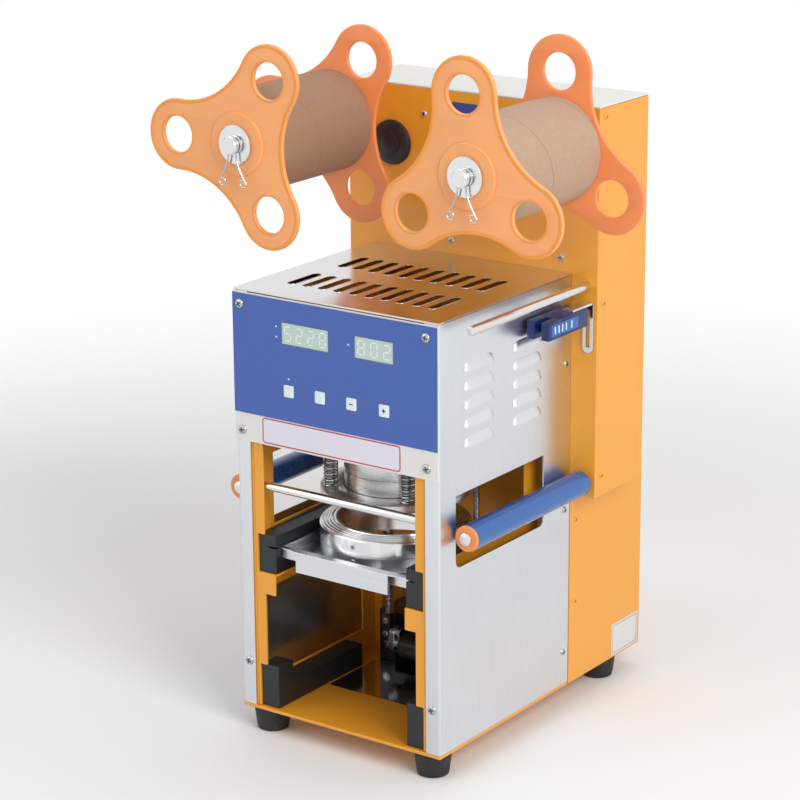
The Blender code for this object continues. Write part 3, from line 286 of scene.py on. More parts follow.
def shader_group(name, inputs, outputs):
    """An empty node group with its sockets; gives its layout helper, input and output nodes."""
    tree = bpy.data.node_groups.new(name, "ShaderNodeTree")
    for label, kind, default in inputs:
        socket = tree.interface.new_socket(label, in_out="INPUT", socket_type=kind)
        socket.default_value = default
    for label, kind in outputs:
        tree.interface.new_socket(label, in_out="OUTPUT", socket_type=kind)
    return Nodes(tree), tree.nodes.new("NodeGroupInput"), tree.nodes.new("NodeGroupOutput")


FLOAT = "NodeSocketFloat"
COLOUR = "NodeSocketColor"
VECTOR = "NodeSocketVector"


def handling_group():
    """Smudges, dust and faint colour drift that any handled surface has."""
    inputs = [("Colour", COLOUR, (0.5, 0.5, 0.5, 1)), ("Place", VECTOR, (0, 0, 0)), ("Drift", FLOAT, 0.06),
              ("Roughness", FLOAT, 0.4), ("Smudge", FLOAT, 0.08)]
    lay, source, target = shader_group("Handling", inputs, [("Colour", COLOUR), ("Roughness", FLOAT)])
    place = source.outputs["Place"]
    broad = lay.ramp(lay.noise(place, 14.0, 4.0), [(0.3, 0.0), (0.7, 1.0)])
    darker = lay.mix(lay.math("MULTIPLY", broad, source.outputs["Drift"]), source.outputs["Colour"],
                     (0.08, 0.06, 0.05, 1))
    smear = lay.noise(lay.stretch(place, (1, 1, 0.35)), 55.0, 5.0, 0.7)
    smear = lay.ramp(smear, [(0.42, 0.0), (0.75, 1.0)])
    smudge = lay.math("MULTIPLY", smear, source.outputs["Smudge"])
    lay.feed(target, "Colour", darker)
    lay.feed(target, "Roughness", lay.math("ADD", source.outputs["Roughness"], smudge, True))
    return lay.tree


def brushed_group():
    """Fine straight grain that runs along one axis, as height and as a mask."""
    inputs = [("Place", VECTOR, (0, 0, 0)), ("Along", VECTOR, (1, 1, 1)), ("Scale", FLOAT, 900.0)]
    lay, source, target = shader_group("Brushed Grain", inputs, [("Height", FLOAT), ("Mask", FLOAT)])
    node = lay.add("ShaderNodeMapping", Vector=source.outputs["Place"], Scale=source.outputs["Along"])
    fine = lay.noise(node.outputs["Vector"], source.outputs["Scale"], 2.0, 0.6)
    coarse = lay.noise(node.outputs["Vector"], 160.0, 3.0, 0.6)
    height = lay.math("ADD", lay.math("MULTIPLY", fine, 0.7), lay.math("MULTIPLY", coarse, 0.3))
    lay.feed(target, "Height", height)
    lay.feed(target, "Mask", lay.ramp(height, [(0.35, 0.0), (0.65, 1.0)]))
    return lay.tree


def peel_group():
    """The orange-peel skin of sprayed powder paint, or of moulded plastic, as a height."""
    inputs = [("Place", VECTOR, (0, 0, 0)), ("Scale", FLOAT, 420.0)]
    lay, source, target = shader_group("Peel", inputs, [("Height", FLOAT)])
    lay.feed(target, "Height", lay.noise(source.outputs["Place"], source.outputs["Scale"], 2.0, 0.5))
    return lay.tree


HANDLING = handling_group()
BRUSHED = brushed_group()
PEEL = peel_group()


# Materials

def start_material(name):
    """A new material with its Principled shader and its object-space place."""
    material = bpy.data.materials.new(name)
    material.use_nodes = True
    lay = Nodes(material.node_tree)
    shader = material.node_tree.nodes["Principled BSDF"]
    place = lay.add("ShaderNodeTexCoord").outputs["Object"]
    return material, lay, shader, place


def use_group(lay, tree, **sockets):
    """Place a node group and feed it."""
    node = lay.tree.nodes.new("ShaderNodeGroup")
    node.node_tree = tree
    for name, value in sockets.items():
        lay.feed(node, name, value)
    return node


def bump(lay, shader, height, strength, distance):
    """Feed a height to the shader's normal."""
    node = lay.add("ShaderNodeBump", Strength=strength, Distance=distance, Height=height)
    lay.feed(shader, "Normal", node.outputs["Normal"])


def handle(lay, shader, place, colour, drift, roughness, smudge):
    """Feed the shader a handled surface's colour and roughness, and give both."""
    node = use_group(lay, HANDLING, Colour=(*colour, 1), Place=place, Drift=drift, Roughness=roughness,
                     Smudge=smudge)
    tint, rough = node.outputs["Colour"], node.outputs["Roughness"]
    lay.feed(shader, "Base Color", tint)
    lay.feed(shader, "Roughness", rough)
    return tint, rough


def score(lay, shader, mask, worn, darkness, shade, roughening):
    """Make bare metal darker and rougher in the hollows of its grain."""
    tint, rough = worn
    lay.feed(shader, "Base Color", lay.mix(lay.math("MULTIPLY", mask, darkness), tint, shade))
    lay.feed(shader, "Roughness", lay.math("ADD", rough, lay.math("MULTIPLY", mask, roughening), True))
    shader.inputs["Metallic"].default_value = 1.0


def painted(name, colour, roughness, peel, drift, coat):
    """Powder paint: orange peel, faint dirt and a soft clear gloss."""
    material, lay, shader, place = start_material(name)
    handle(lay, shader, place, colour, drift, roughness, 0.10)
    shader.inputs["Coat Weight"].default_value = coat
    shader.inputs["Coat Roughness"].default_value = 0.25
    skin = use_group(lay, PEEL, Place=place, Scale=480.0)
    bump(lay, shader, skin.outputs["Height"], peel, 0.0004)
    return material


def brushed_metal(name, colour, along, roughness, grain, scale=900.0, drift=0.05):
    """Brushed sheet metal whose grain runs along one axis."""
    material, lay, shader, place = start_material(name)
    lines = use_group(lay, BRUSHED, Place=place, Along=along, Scale=scale)
    worn = handle(lay, shader, place, colour, drift, roughness, 0.08)
    score(lay, shader, lines.outputs["Mask"], worn, 0.10, (0.45, 0.45, 0.46, 1), 0.06)
    bump(lay, shader, lines.outputs["Height"], grain, 0.0002)
    return material


def split_place(lay, place, centre):
    """The place counted from the centre, as a node with one output for each axis."""
    moved = lay.add("ShaderNodeMapping", Vector=place, Location=tuple(-centre))
    return lay.add("ShaderNodeSeparateXYZ", Vector=moved.outputs["Vector"])


def turned_metal(name, colour, centre, roughness):
    """Metal turned on a lathe: fine rings round the centre's upright axis."""
    material, lay, shader, place = start_material(name)
    split = split_place(lay, place, centre)
    squares = [lay.math("POWER", split.outputs[axis], 2.0) for axis in "XY"]
    reach = lay.math("ADD", lay.math("SQRT", lay.math("ADD", *squares)), split.outputs["Z"])
    rings = lay.add("ShaderNodeTexNoise", {"noise_dimensions": "1D"}, W=reach, Scale=2600.0, Detail=2.0)
    mask = lay.ramp(rings.outputs["Fac"], [(0.35, 0.0), (0.7, 1.0)])
    worn = handle(lay, shader, place, colour, 0.02, roughness, 0.04)
    score(lay, shader, mask, worn, 0.12, (0.4, 0.4, 0.42, 1), 0.08)
    bump(lay, shader, rings.outputs["Fac"], 0.08, 0.0002)
    return material


def plastic(name, colour, roughness, peel, drift, glow=0.0):
    """Moulded plastic with a fine skin; glow lets light bleed a little through thin walls."""
    material, lay, shader, place = start_material(name)
    handle(lay, shader, place, colour, drift, roughness, 0.12)
    shader.inputs["Subsurface Weight"].default_value = glow
    shader.inputs["Subsurface Radius"].default_value = (0.01, 0.004, 0.001)
    skin = use_group(lay, PEEL, Place=place, Scale=900.0)
    bump(lay, shader, skin.outputs["Height"], peel, 0.0002)
    return material


def cardboard(name, colour, centre):
    """Wound kraft paper: a slanting seam, long fibres and small specks."""
    material, lay, shader, place = start_material(name)
    split = split_place(lay, place, centre)
    angle = lay.math("ARCTAN2", split.outputs["Z"], split.outputs["X"])
    run = lay.math("MULTIPLY", split.outputs["Y"], 12.0)
    winding = lay.math("FRACT", lay.math("ADD", run, lay.math("MULTIPLY", angle, 1 / (2 * pi))))
    seam = lay.ramp(winding, [(0.0, 1.0), (0.012, 0.0), (0.988, 0.0), (1.0, 1.0)])
    fibre = lay.noise(lay.stretch(place, (1.0, 0.45, 1.0)), 520.0, 4.0, 0.6)
    speck = lay.ramp(lay.noise(place, 700.0, 2.0, 0.6), [(0.66, 0.0), (0.76, 1.0)])
    base = lay.mix(lay.ramp(fibre, [(0.3, 0.0), (0.7, 1.0)]), (*colour, 1),
                   (colour[0] * 0.90, colour[1] * 0.88, colour[2] * 0.86, 1))
    base = lay.mix(lay.math("MULTIPLY", speck, 0.35), base, (0.20, 0.12, 0.07, 1))
    base = lay.mix(lay.math("MULTIPLY", seam, 0.55), base, (0.25, 0.15, 0.08, 1))
    lay.feed(shader, "Base Color", base)
    shader.inputs["Roughness"].default_value = 0.82
    bump(lay, shader, lay.math("SUBTRACT", fibre, lay.math("MULTIPLY", seam, 0.8)), 0.25, 0.0003)
    return material


def rubber(name):
    """Black rubber with a dusty bloom."""
    material, lay, shader, place = start_material(name)
    bloom = lay.ramp(lay.noise(place, 90.0, 4.0, 0.7), [(0.45, 0.0), (0.8, 1.0)])
    lay.feed(shader, "Base Color", lay.mix(lay.math("MULTIPLY", bloom, 0.5), (0.012, 0.012, 0.013, 1),
                                           (0.05, 0.048, 0.045, 1)))
    shader.inputs["Roughness"].default_value = 0.62
    bump(lay, shader, lay.noise(place, 1200.0, 2.0), 0.15, 0.0002)
    return material


def lamp_material(name, colour, strength):
    """A display segment that shines a little over its own colour."""
    material, lay, shader, place = start_material(name)
    flicker = lay.ramp(lay.noise(place, 900.0, 1.0), [(0.3, 0.85), (0.7, 1.0)])
    tint = lay.mix(1.0, (*colour, 1), flicker, "MULTIPLY")
    lay.feed(shader, "Base Color", tint)
    lay.feed(shader, "Emission Color", tint)
    shader.inputs["Emission Strength"].default_value = strength
    shader.inputs["Roughness"].default_value = 0.3
    return material


# Shapes

TURN_TO = {
    "X": Matrix.Rotation(pi / 2, 4, "Y"),
    "Y": Matrix.Rotation(-pi / 2, 4, "X"),
    "Z": Matrix.Identity(4),
}


def block(low, high):
    """A block between two corners."""
    low, high = Vector(low), Vector(high)
    shape = bmesh.new()
    size = Matrix.Diagonal((*(high - low), 1))
    bmesh.ops.create_cube(shape, size=1, matrix=Matrix.Translation((low + high) / 2) @ size)
    return shape


def lathe(profile, centre, axis, steps, closed=False):
    """A turned shape from (radius, height) points; a closed profile makes a ring."""
    shape = bmesh.new()
    rings = []
    for radius, height in profile:
        if radius < 1e-7:
            rings.append([shape.verts.new((0, 0, height))])
            continue
        turns = [2 * pi * step / steps for step in range(steps)]
        rings.append([shape.verts.new((radius * cos(turn), radius * sin(turn), height)) for turn in turns])
    pairs = list(zip(rings, rings[1:]))
    if closed:
        pairs.append((rings[-1], rings[0]))
    for upper, lower in pairs:
        for step in range(steps):
            after = (step + 1) % steps
            corners = [upper[step % len(upper)], lower[step % len(lower)],
                       lower[after % len(lower)], upper[after % len(upper)]]
            face = list(dict.fromkeys(corners))
            if len(face) > 2:
                shape.faces.new(face)
    shape.transform(Matrix.Translation(centre) @ TURN_TO[axis])
    bmesh.ops.recalc_face_normals(shape, faces=shape.faces)
    return shape


def link_object(name, data):
    """A new object in the scene."""
    holder = bpy.data.objects.new(name, data)
    bpy.context.scene.collection.objects.link(holder)
    return holder


def to_mesh(name, shape):
    """The shape as a mesh; the shape itself is freed."""
    mesh = bpy.data.meshes.new(name)
    shape.to_mesh(mesh)
    shape.free()
    return mesh


def to_shape(mesh):
    """The mesh as a shape; the mesh itself is removed."""
    shape = bmesh.new()
    shape.from_mesh(mesh)
    bpy.data.meshes.remove(mesh)
    return shape


def evaluated(holder):
    """The object's mesh with its modifiers applied, as a new mesh."""
    bpy.context.view_layer.update()
    return bpy.data.meshes.new_from_object(holder.evaluated_get(bpy.context.evaluated_depsgraph_get()))


def shade(mesh):
    """Smooth shading that stays sharp at real edges."""
    mesh.shade_smooth()
    mesh.set_sharp_from_angle(angle=radians(32))


def from_curve(curve, place=Matrix.Identity(4)):
    """The closed mesh of a curve, moved to its place."""
    drawing = link_object("drawing", curve)
    mesh = evaluated(drawing)
    bpy.data.objects.remove(drawing)
    bpy.data.curves.remove(curve)
    shape = to_shape(mesh)
    bmesh.ops.remove_doubles(shape, verts=shape.verts, dist=0.000005)
    shape.transform(place)
    bmesh.ops.recalc_face_normals(shape, faces=shape.faces)
    return shape


def wire(points, radius, sides):
    """A round wire along the points, with closed ends."""
    curve = bpy.data.curves.new("wire", "CURVE")
    curve.dimensions = "3D"
    curve.bevel_depth = radius
    curve.bevel_resolution = sides
    curve.use_fill_caps = True
    spline = curve.splines.new("POLY")
    spline.points.add(len(points) - 1)
    for point, place in zip(spline.points, points):
        point.co = (*place, 1)
    return from_curve(curve)


STAND = {
    "XY": Matrix.Identity(4),
    "XZ": Matrix(((1, 0, 0, 0), (0, 0, 1, 0), (0, 1, 0, 0), (0, 0, 0, 1))),
    "YZ": Matrix(((0, 0, 1, 0), (1, 0, 0, 0), (0, 1, 0, 0), (0, 0, 0, 1))),
}


def sheet(outlines, plane, low, thickness, edge=0.0):
    """A flat sheet with its outer outline first and then its holes, its rims rounded by the edge."""
    curve = bpy.data.curves.new("outline", "CURVE")
    curve.dimensions = "2D"
    curve.fill_mode = "BOTH"
    curve.extrude = thickness / 2 - edge
    curve.bevel_depth = edge
    curve.bevel_resolution = 2
    curve.offset = -edge
    for outline in outlines:
        spline = curve.splines.new("POLY")
        spline.points.add(len(outline) - 1)
        for point, (across, up) in zip(spline.points, outline):
            point.co = (across, up, 0, 1)
        spline.use_cyclic_u = True
    return from_curve(curve, STAND[plane] @ Matrix.Translation((0, 0, low + thickness / 2)))


def rectangle(left, right, low, high):
    """Corners of a rectangle."""
    return [(left, low), (right, low), (right, high), (left, high)]


def arc(centre, radius, start, sweep, steps):
    """Points along an arc, both ends included."""
    turns = [start + sweep * step / steps for step in range(steps + 1)]
    return [(centre[0] + radius * cos(turn), centre[1] + radius * sin(turn)) for turn in turns]


def circle(centre, radius, steps=48):
    """Points round a circle."""
    return arc(centre, radius, 0, 2 * pi, steps)[:-1]


def slot_outline(left, right, low, high):
    """A slot with round ends, longer upwards."""
    radius = (right - left) / 2
    middle = (left + right) / 2
    points = arc((middle, high - radius), radius, 0, pi, 8)
    return points + arc((middle, low + radius), radius, pi, pi, 8)


def soften(shape, width):
    """Round the sharp edges of a shape."""
    limit = radians(30)
    edges = [edge for edge in shape.edges if len(edge.link_faces) == 2 and edge.calc_face_angle() > limit]
    bmesh.ops.bevel(shape, geom=edges, offset=width, segments=2, profile=0.6, affect="EDGES",
                    clamp_overlap=True)
    return shape


def gather(shapes):
    """Several solids as one shape."""
    whole = bmesh.new()
    for shape in shapes:
        mesh = to_mesh("piece", shape)
        whole.from_mesh(mesh)
        bpy.data.meshes.remove(mesh)
    return whole


def finished(name, shape, look, body, nodes=()):
    """Turn a shape into a piece that rides on its body, in place of the given nodes."""
    shape.transform(Matrix.Translation((0, FRONT_Y, BASE_Z)))
    mesh = to_mesh(name, shape)
    shade(mesh)
    mesh.materials.append(finish(look))
    piece = link_object(name, mesh)
    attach(piece, body)
    if nodes:
        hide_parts(*nodes)
    return piece


# Repeats by Geometry Nodes

def repeat_tree():
    """A tree that sets one small piece on every point, facing as the point says, spun at random."""
    tree = bpy.data.node_groups.new("Repeat On Points", "GeometryNodeTree")
    inputs = [("Geometry", "Geometry", None), ("Piece", "Object", None), ("Size", "Float", 1.0),
              ("Spin", "Float", 0.0), ("Seed", "Int", SPIN_SEED), ("Finish", "Material", None)]
    for label, kind, default in inputs:
        socket = tree.interface.new_socket(label, in_out="INPUT", socket_type="NodeSocket" + kind)
        if default is not None:
            socket.default_value = default
    tree.interface.new_socket("Geometry", in_out="OUTPUT", socket_type="NodeSocketGeometry")
    lay = Nodes(tree)
    given = tree.nodes.new("NodeGroupInput").outputs
    facing = lay.add("GeometryNodeInputNamedAttribute", {"data_type": "FLOAT_VECTOR"}, Name="facing")
    align = lay.add("FunctionNodeAlignRotationToVector", {"axis": "Z"}, Vector=facing.outputs["Attribute"])
    chance = lay.add("FunctionNodeRandomValue", i3=given["Spin"], Seed=given["Seed"])
    about = lay.add("FunctionNodeAxisAngleToRotation", Axis=(0, 0, 1), Angle=chance.outputs[1])
    turn = lay.add("FunctionNodeRotateRotation", {"rotation_space": "LOCAL"},
                   Rotation=align.outputs["Rotation"], Rotate_By=about.outputs["Rotation"])
    holder = lay.add("GeometryNodeObjectInfo", Object=given["Piece"])
    spread = lay.add("GeometryNodeInstanceOnPoints", Points=given["Geometry"], Scale=given["Size"],
                     Instance=holder.outputs["Geometry"], Rotation=turn.outputs["Rotation"])
    solid = lay.add("GeometryNodeRealizeInstances", Geometry=spread.outputs["Instances"])
    coat = lay.add("GeometryNodeSetMaterial", Geometry=solid.outputs["Geometry"], Material=given["Finish"])
    lay.add("NodeGroupOutput", Geometry=coat.outputs["Geometry"])
    return tree


REPEAT = repeat_tree()


def repeated(name, places, pattern, look, body, spin=0.0, nodes=()):
    """One mesh with the pattern set on each (point, facing) place."""
    stock = to_mesh(name + "_pattern", pattern)
    shade(stock)
    sample = link_object(name + "_sample", stock)
    points = bpy.data.meshes.new(name + "_points")
    points.from_pydata([point for point, facing in places], [], [])
    attribute = points.attributes.new("facing", "FLOAT_VECTOR", "POINT")
    for item, (point, facing) in zip(attribute.data, places):
        item.vector = facing
    holder = link_object(name + "_holder", points)
    modifier = holder.modifiers.new("repeat", "NODES")
    modifier.node_group = REPEAT
    values = {"Piece": sample, "Size": 1.0, "Spin": spin, "Seed": SPIN_SEED, "Finish": finish(look)}
    for item in REPEAT.interface.items_tree:
        if item.in_out == "INPUT" and item.name in values:
            modifier[item.identifier] = values[item.name]
    mesh = evaluated(holder)
    bpy.data.objects.remove(holder)
    bpy.data.objects.remove(sample)
    return finished(name, to_shape(mesh), look, body, nodes)


# Finishing of CAD nodes that keep their shape

def dress(node, look, edge):
    """Give a CAD node its finish, with its doubles welded and its edges rounded."""
    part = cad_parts[node]
    part.data.materials.clear()
    part.data.materials.append(finish(look))
    if edge:
        weld = part.modifiers.new("weld", "WELD")
        weld.merge_threshold = 0.00001
        bevel = part.modifiers.new("edge", "BEVEL")
        bevel.width = edge
        bevel.segments = 2
        bevel.limit_method = "ANGLE"
        bevel.angle_limit = radians(40)


def carve(shape, cutter):
    """Cut one closed shape out of another."""
    body = link_object("body", to_mesh("body", shape))
    tool = link_object("cutter", to_mesh("cutter", cutter))
    modifier = body.modifiers.new("cut", "BOOLEAN")
    modifier.operation = "DIFFERENCE"
    modifier.solver = "EXACT"
    modifier.object = tool
    mesh = evaluated(body)
    for holder in (body, tool):
        bpy.data.objects.remove(holder)
    return to_shape(mesh)


# Finishes

FINISHES = {
    "Orange powder paint": (painted, (0.86, 0.360, 0.023), 0.30, 0.05, 0.03, 0.35),
    "Cream powder paint": (painted, (0.78, 0.765, 0.735), 0.40, 0.04, 0.03, 0.15),
    "Black enamel and painted shade": (painted, (0.012, 0.012, 0.014), 0.30, 0.12, 0.02, 0.3),
    "Brushed stainless, upright": (brushed_metal, (0.76, 0.785, 0.82), (1, 1, 0.03), 0.27, 0.03),
    "Brushed stainless, lengthwise": (brushed_metal, (0.74, 0.74, 0.75), (1, 0.03, 1), 0.14, 0.04),
    "Pressed stainless": (brushed_metal, (0.74, 0.76, 0.79), (0.03, 1, 1), 0.26, 0.0, 300.0, 0.02),
    "Mirror stainless": (brushed_metal, (0.72, 0.72, 0.73), (0.05, 1, 1), 0.07, 0.03),
    "Polished steel": (brushed_metal, (0.80, 0.80, 0.80), (1, 0.2, 1), 0.14, 0.04),
    "Spring steel": (brushed_metal, (0.50, 0.50, 0.51), (0.3, 0.3, 1), 0.18, 0.04),
    "Zinc plated steel": (brushed_metal, (0.50, 0.51, 0.51), (1, 1, 1), 0.20, 0.08, 500.0),
    "Black moulded plastic": (plastic, (0.014, 0.015, 0.017), 0.38, 0.10, 0.0),
    "Key plastic": (plastic, (0.75, 0.84, 0.88), 0.30, 0.03, 0.02),
    "Display window": (plastic, (0.52, 0.64, 0.60), 0.18, 0.01, 0.05),
    "Panel film": (plastic, (0.052, 0.118, 0.43), 0.28, 0.03, 0.03),
    "Blue anodised roller": (painted, (0.010, 0.105, 0.37), 0.24, 0.02, 0.03, 0.5),
    "Sensor housing": (plastic, (0.006, 0.020, 0.12), 0.32, 0.08, 0.04),
    "Sensor face": (plastic, (0.018, 0.135, 0.40), 0.36, 0.05, 0.04),
    # The reel plates are one plastic: the front plates' lighter colour is painted light, the rear plates'
    # darker colour painted shade
    "Front reel plastic with painted light and shade": (plastic, (0.93, 0.41, 0.155), 0.34, 0.04, 0.03, 0.35),
    "Rear reel plastic with painted light and shade": (plastic, (0.93, 0.30, 0.10), 0.36, 0.04, 0.03, 0.35),
    # The rim band is the reel's own plastic: its deeper orange is painted glow through the edge, on top of
    # a real subsurface glow
    "Reel rim plastic with painted glow": (plastic, (0.86, 0.33, 0.045), 0.30, 0.03, 0.03, 0.25),
    "Bushing plastic": (plastic, (0.90, 0.30, 0.09), 0.40, 0.05, 0.04, 0.2),
    "Circuit board": (plastic, (0.02, 0.13, 0.05), 0.45, 0.2, 0.1),
    "Label stock": (plastic, (0.76, 0.74, 0.83), 0.45, 0.02, 0.03),
    "Label border": (plastic, (0.55, 0.06, 0.10), 0.45, 0.02, 0.05),
    "White print and painted highlight": (plastic, (0.72, 0.78, 0.90), 0.45, 0.02, 0.02),
    # Dark print also paints the shade in the screws' recesses and in the grub screws' sockets
    "Dark print and painted shade": (plastic, (0.03, 0.04, 0.06), 0.50, 0.02, 0.02),
    "Name plate blue": (plastic, (0.03, 0.07, 0.30), 0.35, 0.03, 0.03),
    "Plate stock": (plastic, (0.70, 0.70, 0.68), 0.40, 0.02, 0.05),
    "Foot rubber": (rubber,),
    "Display digit": (lamp_material, (0.74, 0.84, 0.80), 0.12),
    "Turned aluminium mold": (turned_metal, (0.80, 0.80, 0.81), spot(0, MOLD_Y, 0), 0.17),
    "Turned aluminium heater": (turned_metal, (0.70, 0.70, 0.71), spot(0, MOLD_Y, 0), 0.22),
    "Turned presser": (turned_metal, (0.66, 0.65, 0.64), spot(0, MOLD_Y, 0), 0.25),
    # The cores are one kraft card: the left core's darker colour is painted shade, the right core's lighter
    # colour painted light
    "Core card with painted light and shade left": (cardboard, (0.37, 0.215, 0.135), spot(-REEL_X, 0, REEL_Z)),
    "Core card with painted light and shade right": (cardboard, (0.50, 0.345, 0.245), spot(REEL_X, 0, REEL_Z)),
}


def finish(name):
    """The named finish, made the first time it is asked for."""
    recipe, *values = FINISHES[name]
    return bpy.data.materials.get(name) or recipe(name, *values)


# Settings

def length(label, about, default):
    """A length setting."""
    return bpy.props.FloatProperty(name=label, description=about, default=default, min=0.0, unit="LENGTH",
                                   precision=5)


def count(label, about, default):
    """A whole-number setting."""
    return bpy.props.IntProperty(name=label, description=about, default=default, min=1)


class SheetSettings(bpy.types.PropertyGroup):
    """Sizes of the pressed details in the covers."""
    louver_rows: count("Louver rows", "Louvers above each other in one column", 5)
    louver_pitch: length("Louver pitch", "Height from one louver to the next", 0.0169)
    louver_top: length("Louver top", "Height of the highest louver's middle", 0.350)
    louver_length: length("Louver length", "Length of one louver", 0.044)
    louver_height: length("Louver height", "Height of one louver", 0.009)
    louver_depth: length("Louver depth", "How far a louver stands out", 0.0030)
    slot_width: length("Slot width", "Width of a slot in the top", 0.0085)
    slot_lip: length("Slot lip", "Height of the pressed lip round a slot", 0.0002)


class PanelSettings(bpy.types.PropertyGroup):
    """Sizes on the control panel."""
    key_width: length("Key width", "Width of a key", 0.0106)
    key_height: length("Key height", "Height of a key", 0.011)
    digit_height: length("Digit height", "Height of a display digit", 0.0125)
    stroke: length("Stroke", "Width of a digit's segment", 0.0011)
    border: length("Border", "Width of the label's printed border", 0.0011)


class HeadSettings(bpy.types.PropertyGroup):
    """Sizes of the springs, threads and nuts of the sealing head."""
    spring_radius: length("Spring radius", "Radius of a presser spring to its wire's middle", 0.0061)
    spring_wire: length("Spring wire", "Radius of the presser springs' wire", 0.0008)
    spring_turns: count("Spring turns", "Turns of a presser spring", 19)
    rod_spring_radius: length("Rod spring radius", "Radius of a rod's spring to its wire's middle", 0.0039)
    rod_spring_wire: length("Rod spring wire", "Radius of the rods' springs' wire", 0.00045)
    rod_spring_turns: count("Rod spring turns", "Turns of a rod's spring", 40)
    thread_pitch: length("Thread pitch", "Rise of a thread", 0.0010)
    thread_depth: length("Thread depth", "Depth of a thread", 0.0004)


class ReelSettings(bpy.types.PropertyGroup):
    """Sizes of a three-lobed film reel."""
    hole_circle: length("Hole circle", "Radius of the circle on which the lobes' holes lie", 0.0683)
    hole_radius: length("Hole radius", "Radius of a lobe's hole", 0.0164)
    lobe_radius: length("Lobe radius", "Radius of a lobe", 0.032)
    waist: length("Waist", "Distance from the axis to the hollow between two lobes", 0.049)
    plate: length("Plate", "Thickness of a reel's plate", 0.004)
    rounding: length("Rounding", "Rounding of the plate's rims", 0.0009)
    rim_width: length("Rim width", "Width of the raised band along the plate's edge", 0.0032)
    rim_height: length("Rim height", "Height of the raised band", 0.0004)
    hub_radius: length("Hub radius", "Radius of the raised hub", 0.0287)
    hub_height: length("Hub height", "Height of the raised hub", 0.002)


class StageSettings(bpy.types.PropertyGroup):
    """Floor, light and backdrop."""
    key_power: bpy.props.FloatProperty(name="Key light", description="Power of the main lamp", default=58.0,
                                       subtype="POWER", unit="POWER")
    fill_power: bpy.props.FloatProperty(name="Fill light", description="Power of the left and the top lamp",
                                        default=13.0, subtype="POWER", unit="POWER")
    ambient: bpy.props.FloatProperty(name="Ambient", description="Strength of the light from all round",
                                     default=0.46, min=0.0)


# Covers

def window_outline():
    """The side window: square corners at the top, round ones at the bottom."""
    front, rear, low, high = WINDOW
    corner = WINDOW_CORNER
    points = arc((rear - corner, low + corner), corner, -pi / 2, pi / 2, 10)
    points += [(rear, high), (front, high)]
    points += arc((front + corner, low + corner), corner, pi, pi / 2, 10)
    return points


def cover_shape(side):
    """A side cover: its flank with the window, a rounded bend and the front post."""
    outer = side * BODY_HALF
    inner = outer - side * SHEET
    flank = sheet([rectangle(BEND, BODY_DEPTH, COVER_LOW, COVER_HIGH), window_outline()], "YZ",
                  min(outer, inner), SHEET)
    ends = sorted((side * (BODY_HALF - POST_WIDTH), outer - side * BEND))
    post = sheet([rectangle(*ends, COVER_LOW, COVER_HIGH)], "XZ", 0, SHEET, 0.0002)
    turns = [step * pi / 16 for step in range(9)]
    outside = [(outer - side * BEND * (1 - cos(turn)), BEND * (1 - sin(turn))) for turn in turns]
    reach = BEND - SHEET
    inside = [(outer - side * BEND + side * reach * cos(turn), BEND - reach * sin(turn)) for turn in turns]
    bend = sheet([outside + inside[::-1]], "XY", COVER_LOW, COVER_HIGH - COVER_LOW)
    return gather([flank, post, bend])


def louver_hood(side, settings):
    """One pressed louver, its local Z pointing out of the cover and its mouth down."""
    shape = bmesh.new()
    across = 28
    rise = 8
    grid = []
    for column in range(across + 1):
        run = -1 + 2 * column / across
        swell = max(0.0, 1 - abs(run) ** 7) ** 0.5
        line = []
        for row in range(rise + 1):
            share = row / rise
            out = settings.louver_depth * swell * (1 - share ** 1.6)
            up = settings.louver_height * (0.10 + 0.90 * swell) * share
            corner = (-side * (up - settings.louver_height / 2), run * settings.louver_length / 2, out)
            line.append(shape.verts.new(corner))
        grid.append(line)
    for left, right in zip(grid, grid[1:]):
        for row in range(rise):
            shape.faces.new((left[row], right[row], right[row + 1], left[row + 1]))
    thick = bmesh.ops.extrude_face_region(shape, geom=shape.faces[:])
    for item in thick["geom"]:
        if isinstance(item, bmesh.types.BMVert):
            item.co.z -= LOUVER_SHEET
    bmesh.ops.remove_doubles(shape, verts=shape.verts, dist=0.000002)
    bmesh.ops.recalc_face_normals(shape, faces=shape.faces)
    return shape


def louver_places(side, settings):
    """The middle of every louver on one side, with the way it faces."""
    places = []
    for row in range(settings.louver_rows):
        height = settings.louver_top - row * settings.louver_pitch
        for depth in LOUVER_COLUMNS:
            places.append(((side * BODY_HALF, depth, height), (side, 0, 0)))
    return places


class SEALER_OT_covers(bpy.types.Operator):
    """Build the two side covers with their windows and louvers"""
    bl_idname = "sealer.covers"
    bl_label = "Side Covers"

    def execute(self, context):
        settings = context.scene.sealer_sheet
        steel = "Brushed stainless, upright"
        half = settings.louver_height / 2
        for name, side in SIDES:
            finished("cover_" + name, cover_shape(side), steel, "machine",
                     ["side_cover_" + name])
            places = louver_places(side, settings)
            repeated("louvers_" + name, places, louver_hood(side, settings), steel, "machine")
            # Painted shade: a black strip along each louver's mouth, reaching a little past the lip, stands
            # in for the dark opening and the shadow under the hood
            heights = sorted(side * (half + offset) for offset in SHADOW_STRIP_OFFSETS)
            painted_shadow_strip = block((heights[0], settings.louver_length * SHADOW_STRIP_ENDS[0], -SHADOW_STRIP_RISE),
                         (heights[1], settings.louver_length * SHADOW_STRIP_ENDS[1], SHADOW_STRIP_RISE))
            repeated("louver_slits_" + name, places, painted_shadow_strip, "Black enamel and painted shade", "machine")
        return {"FINISHED"}


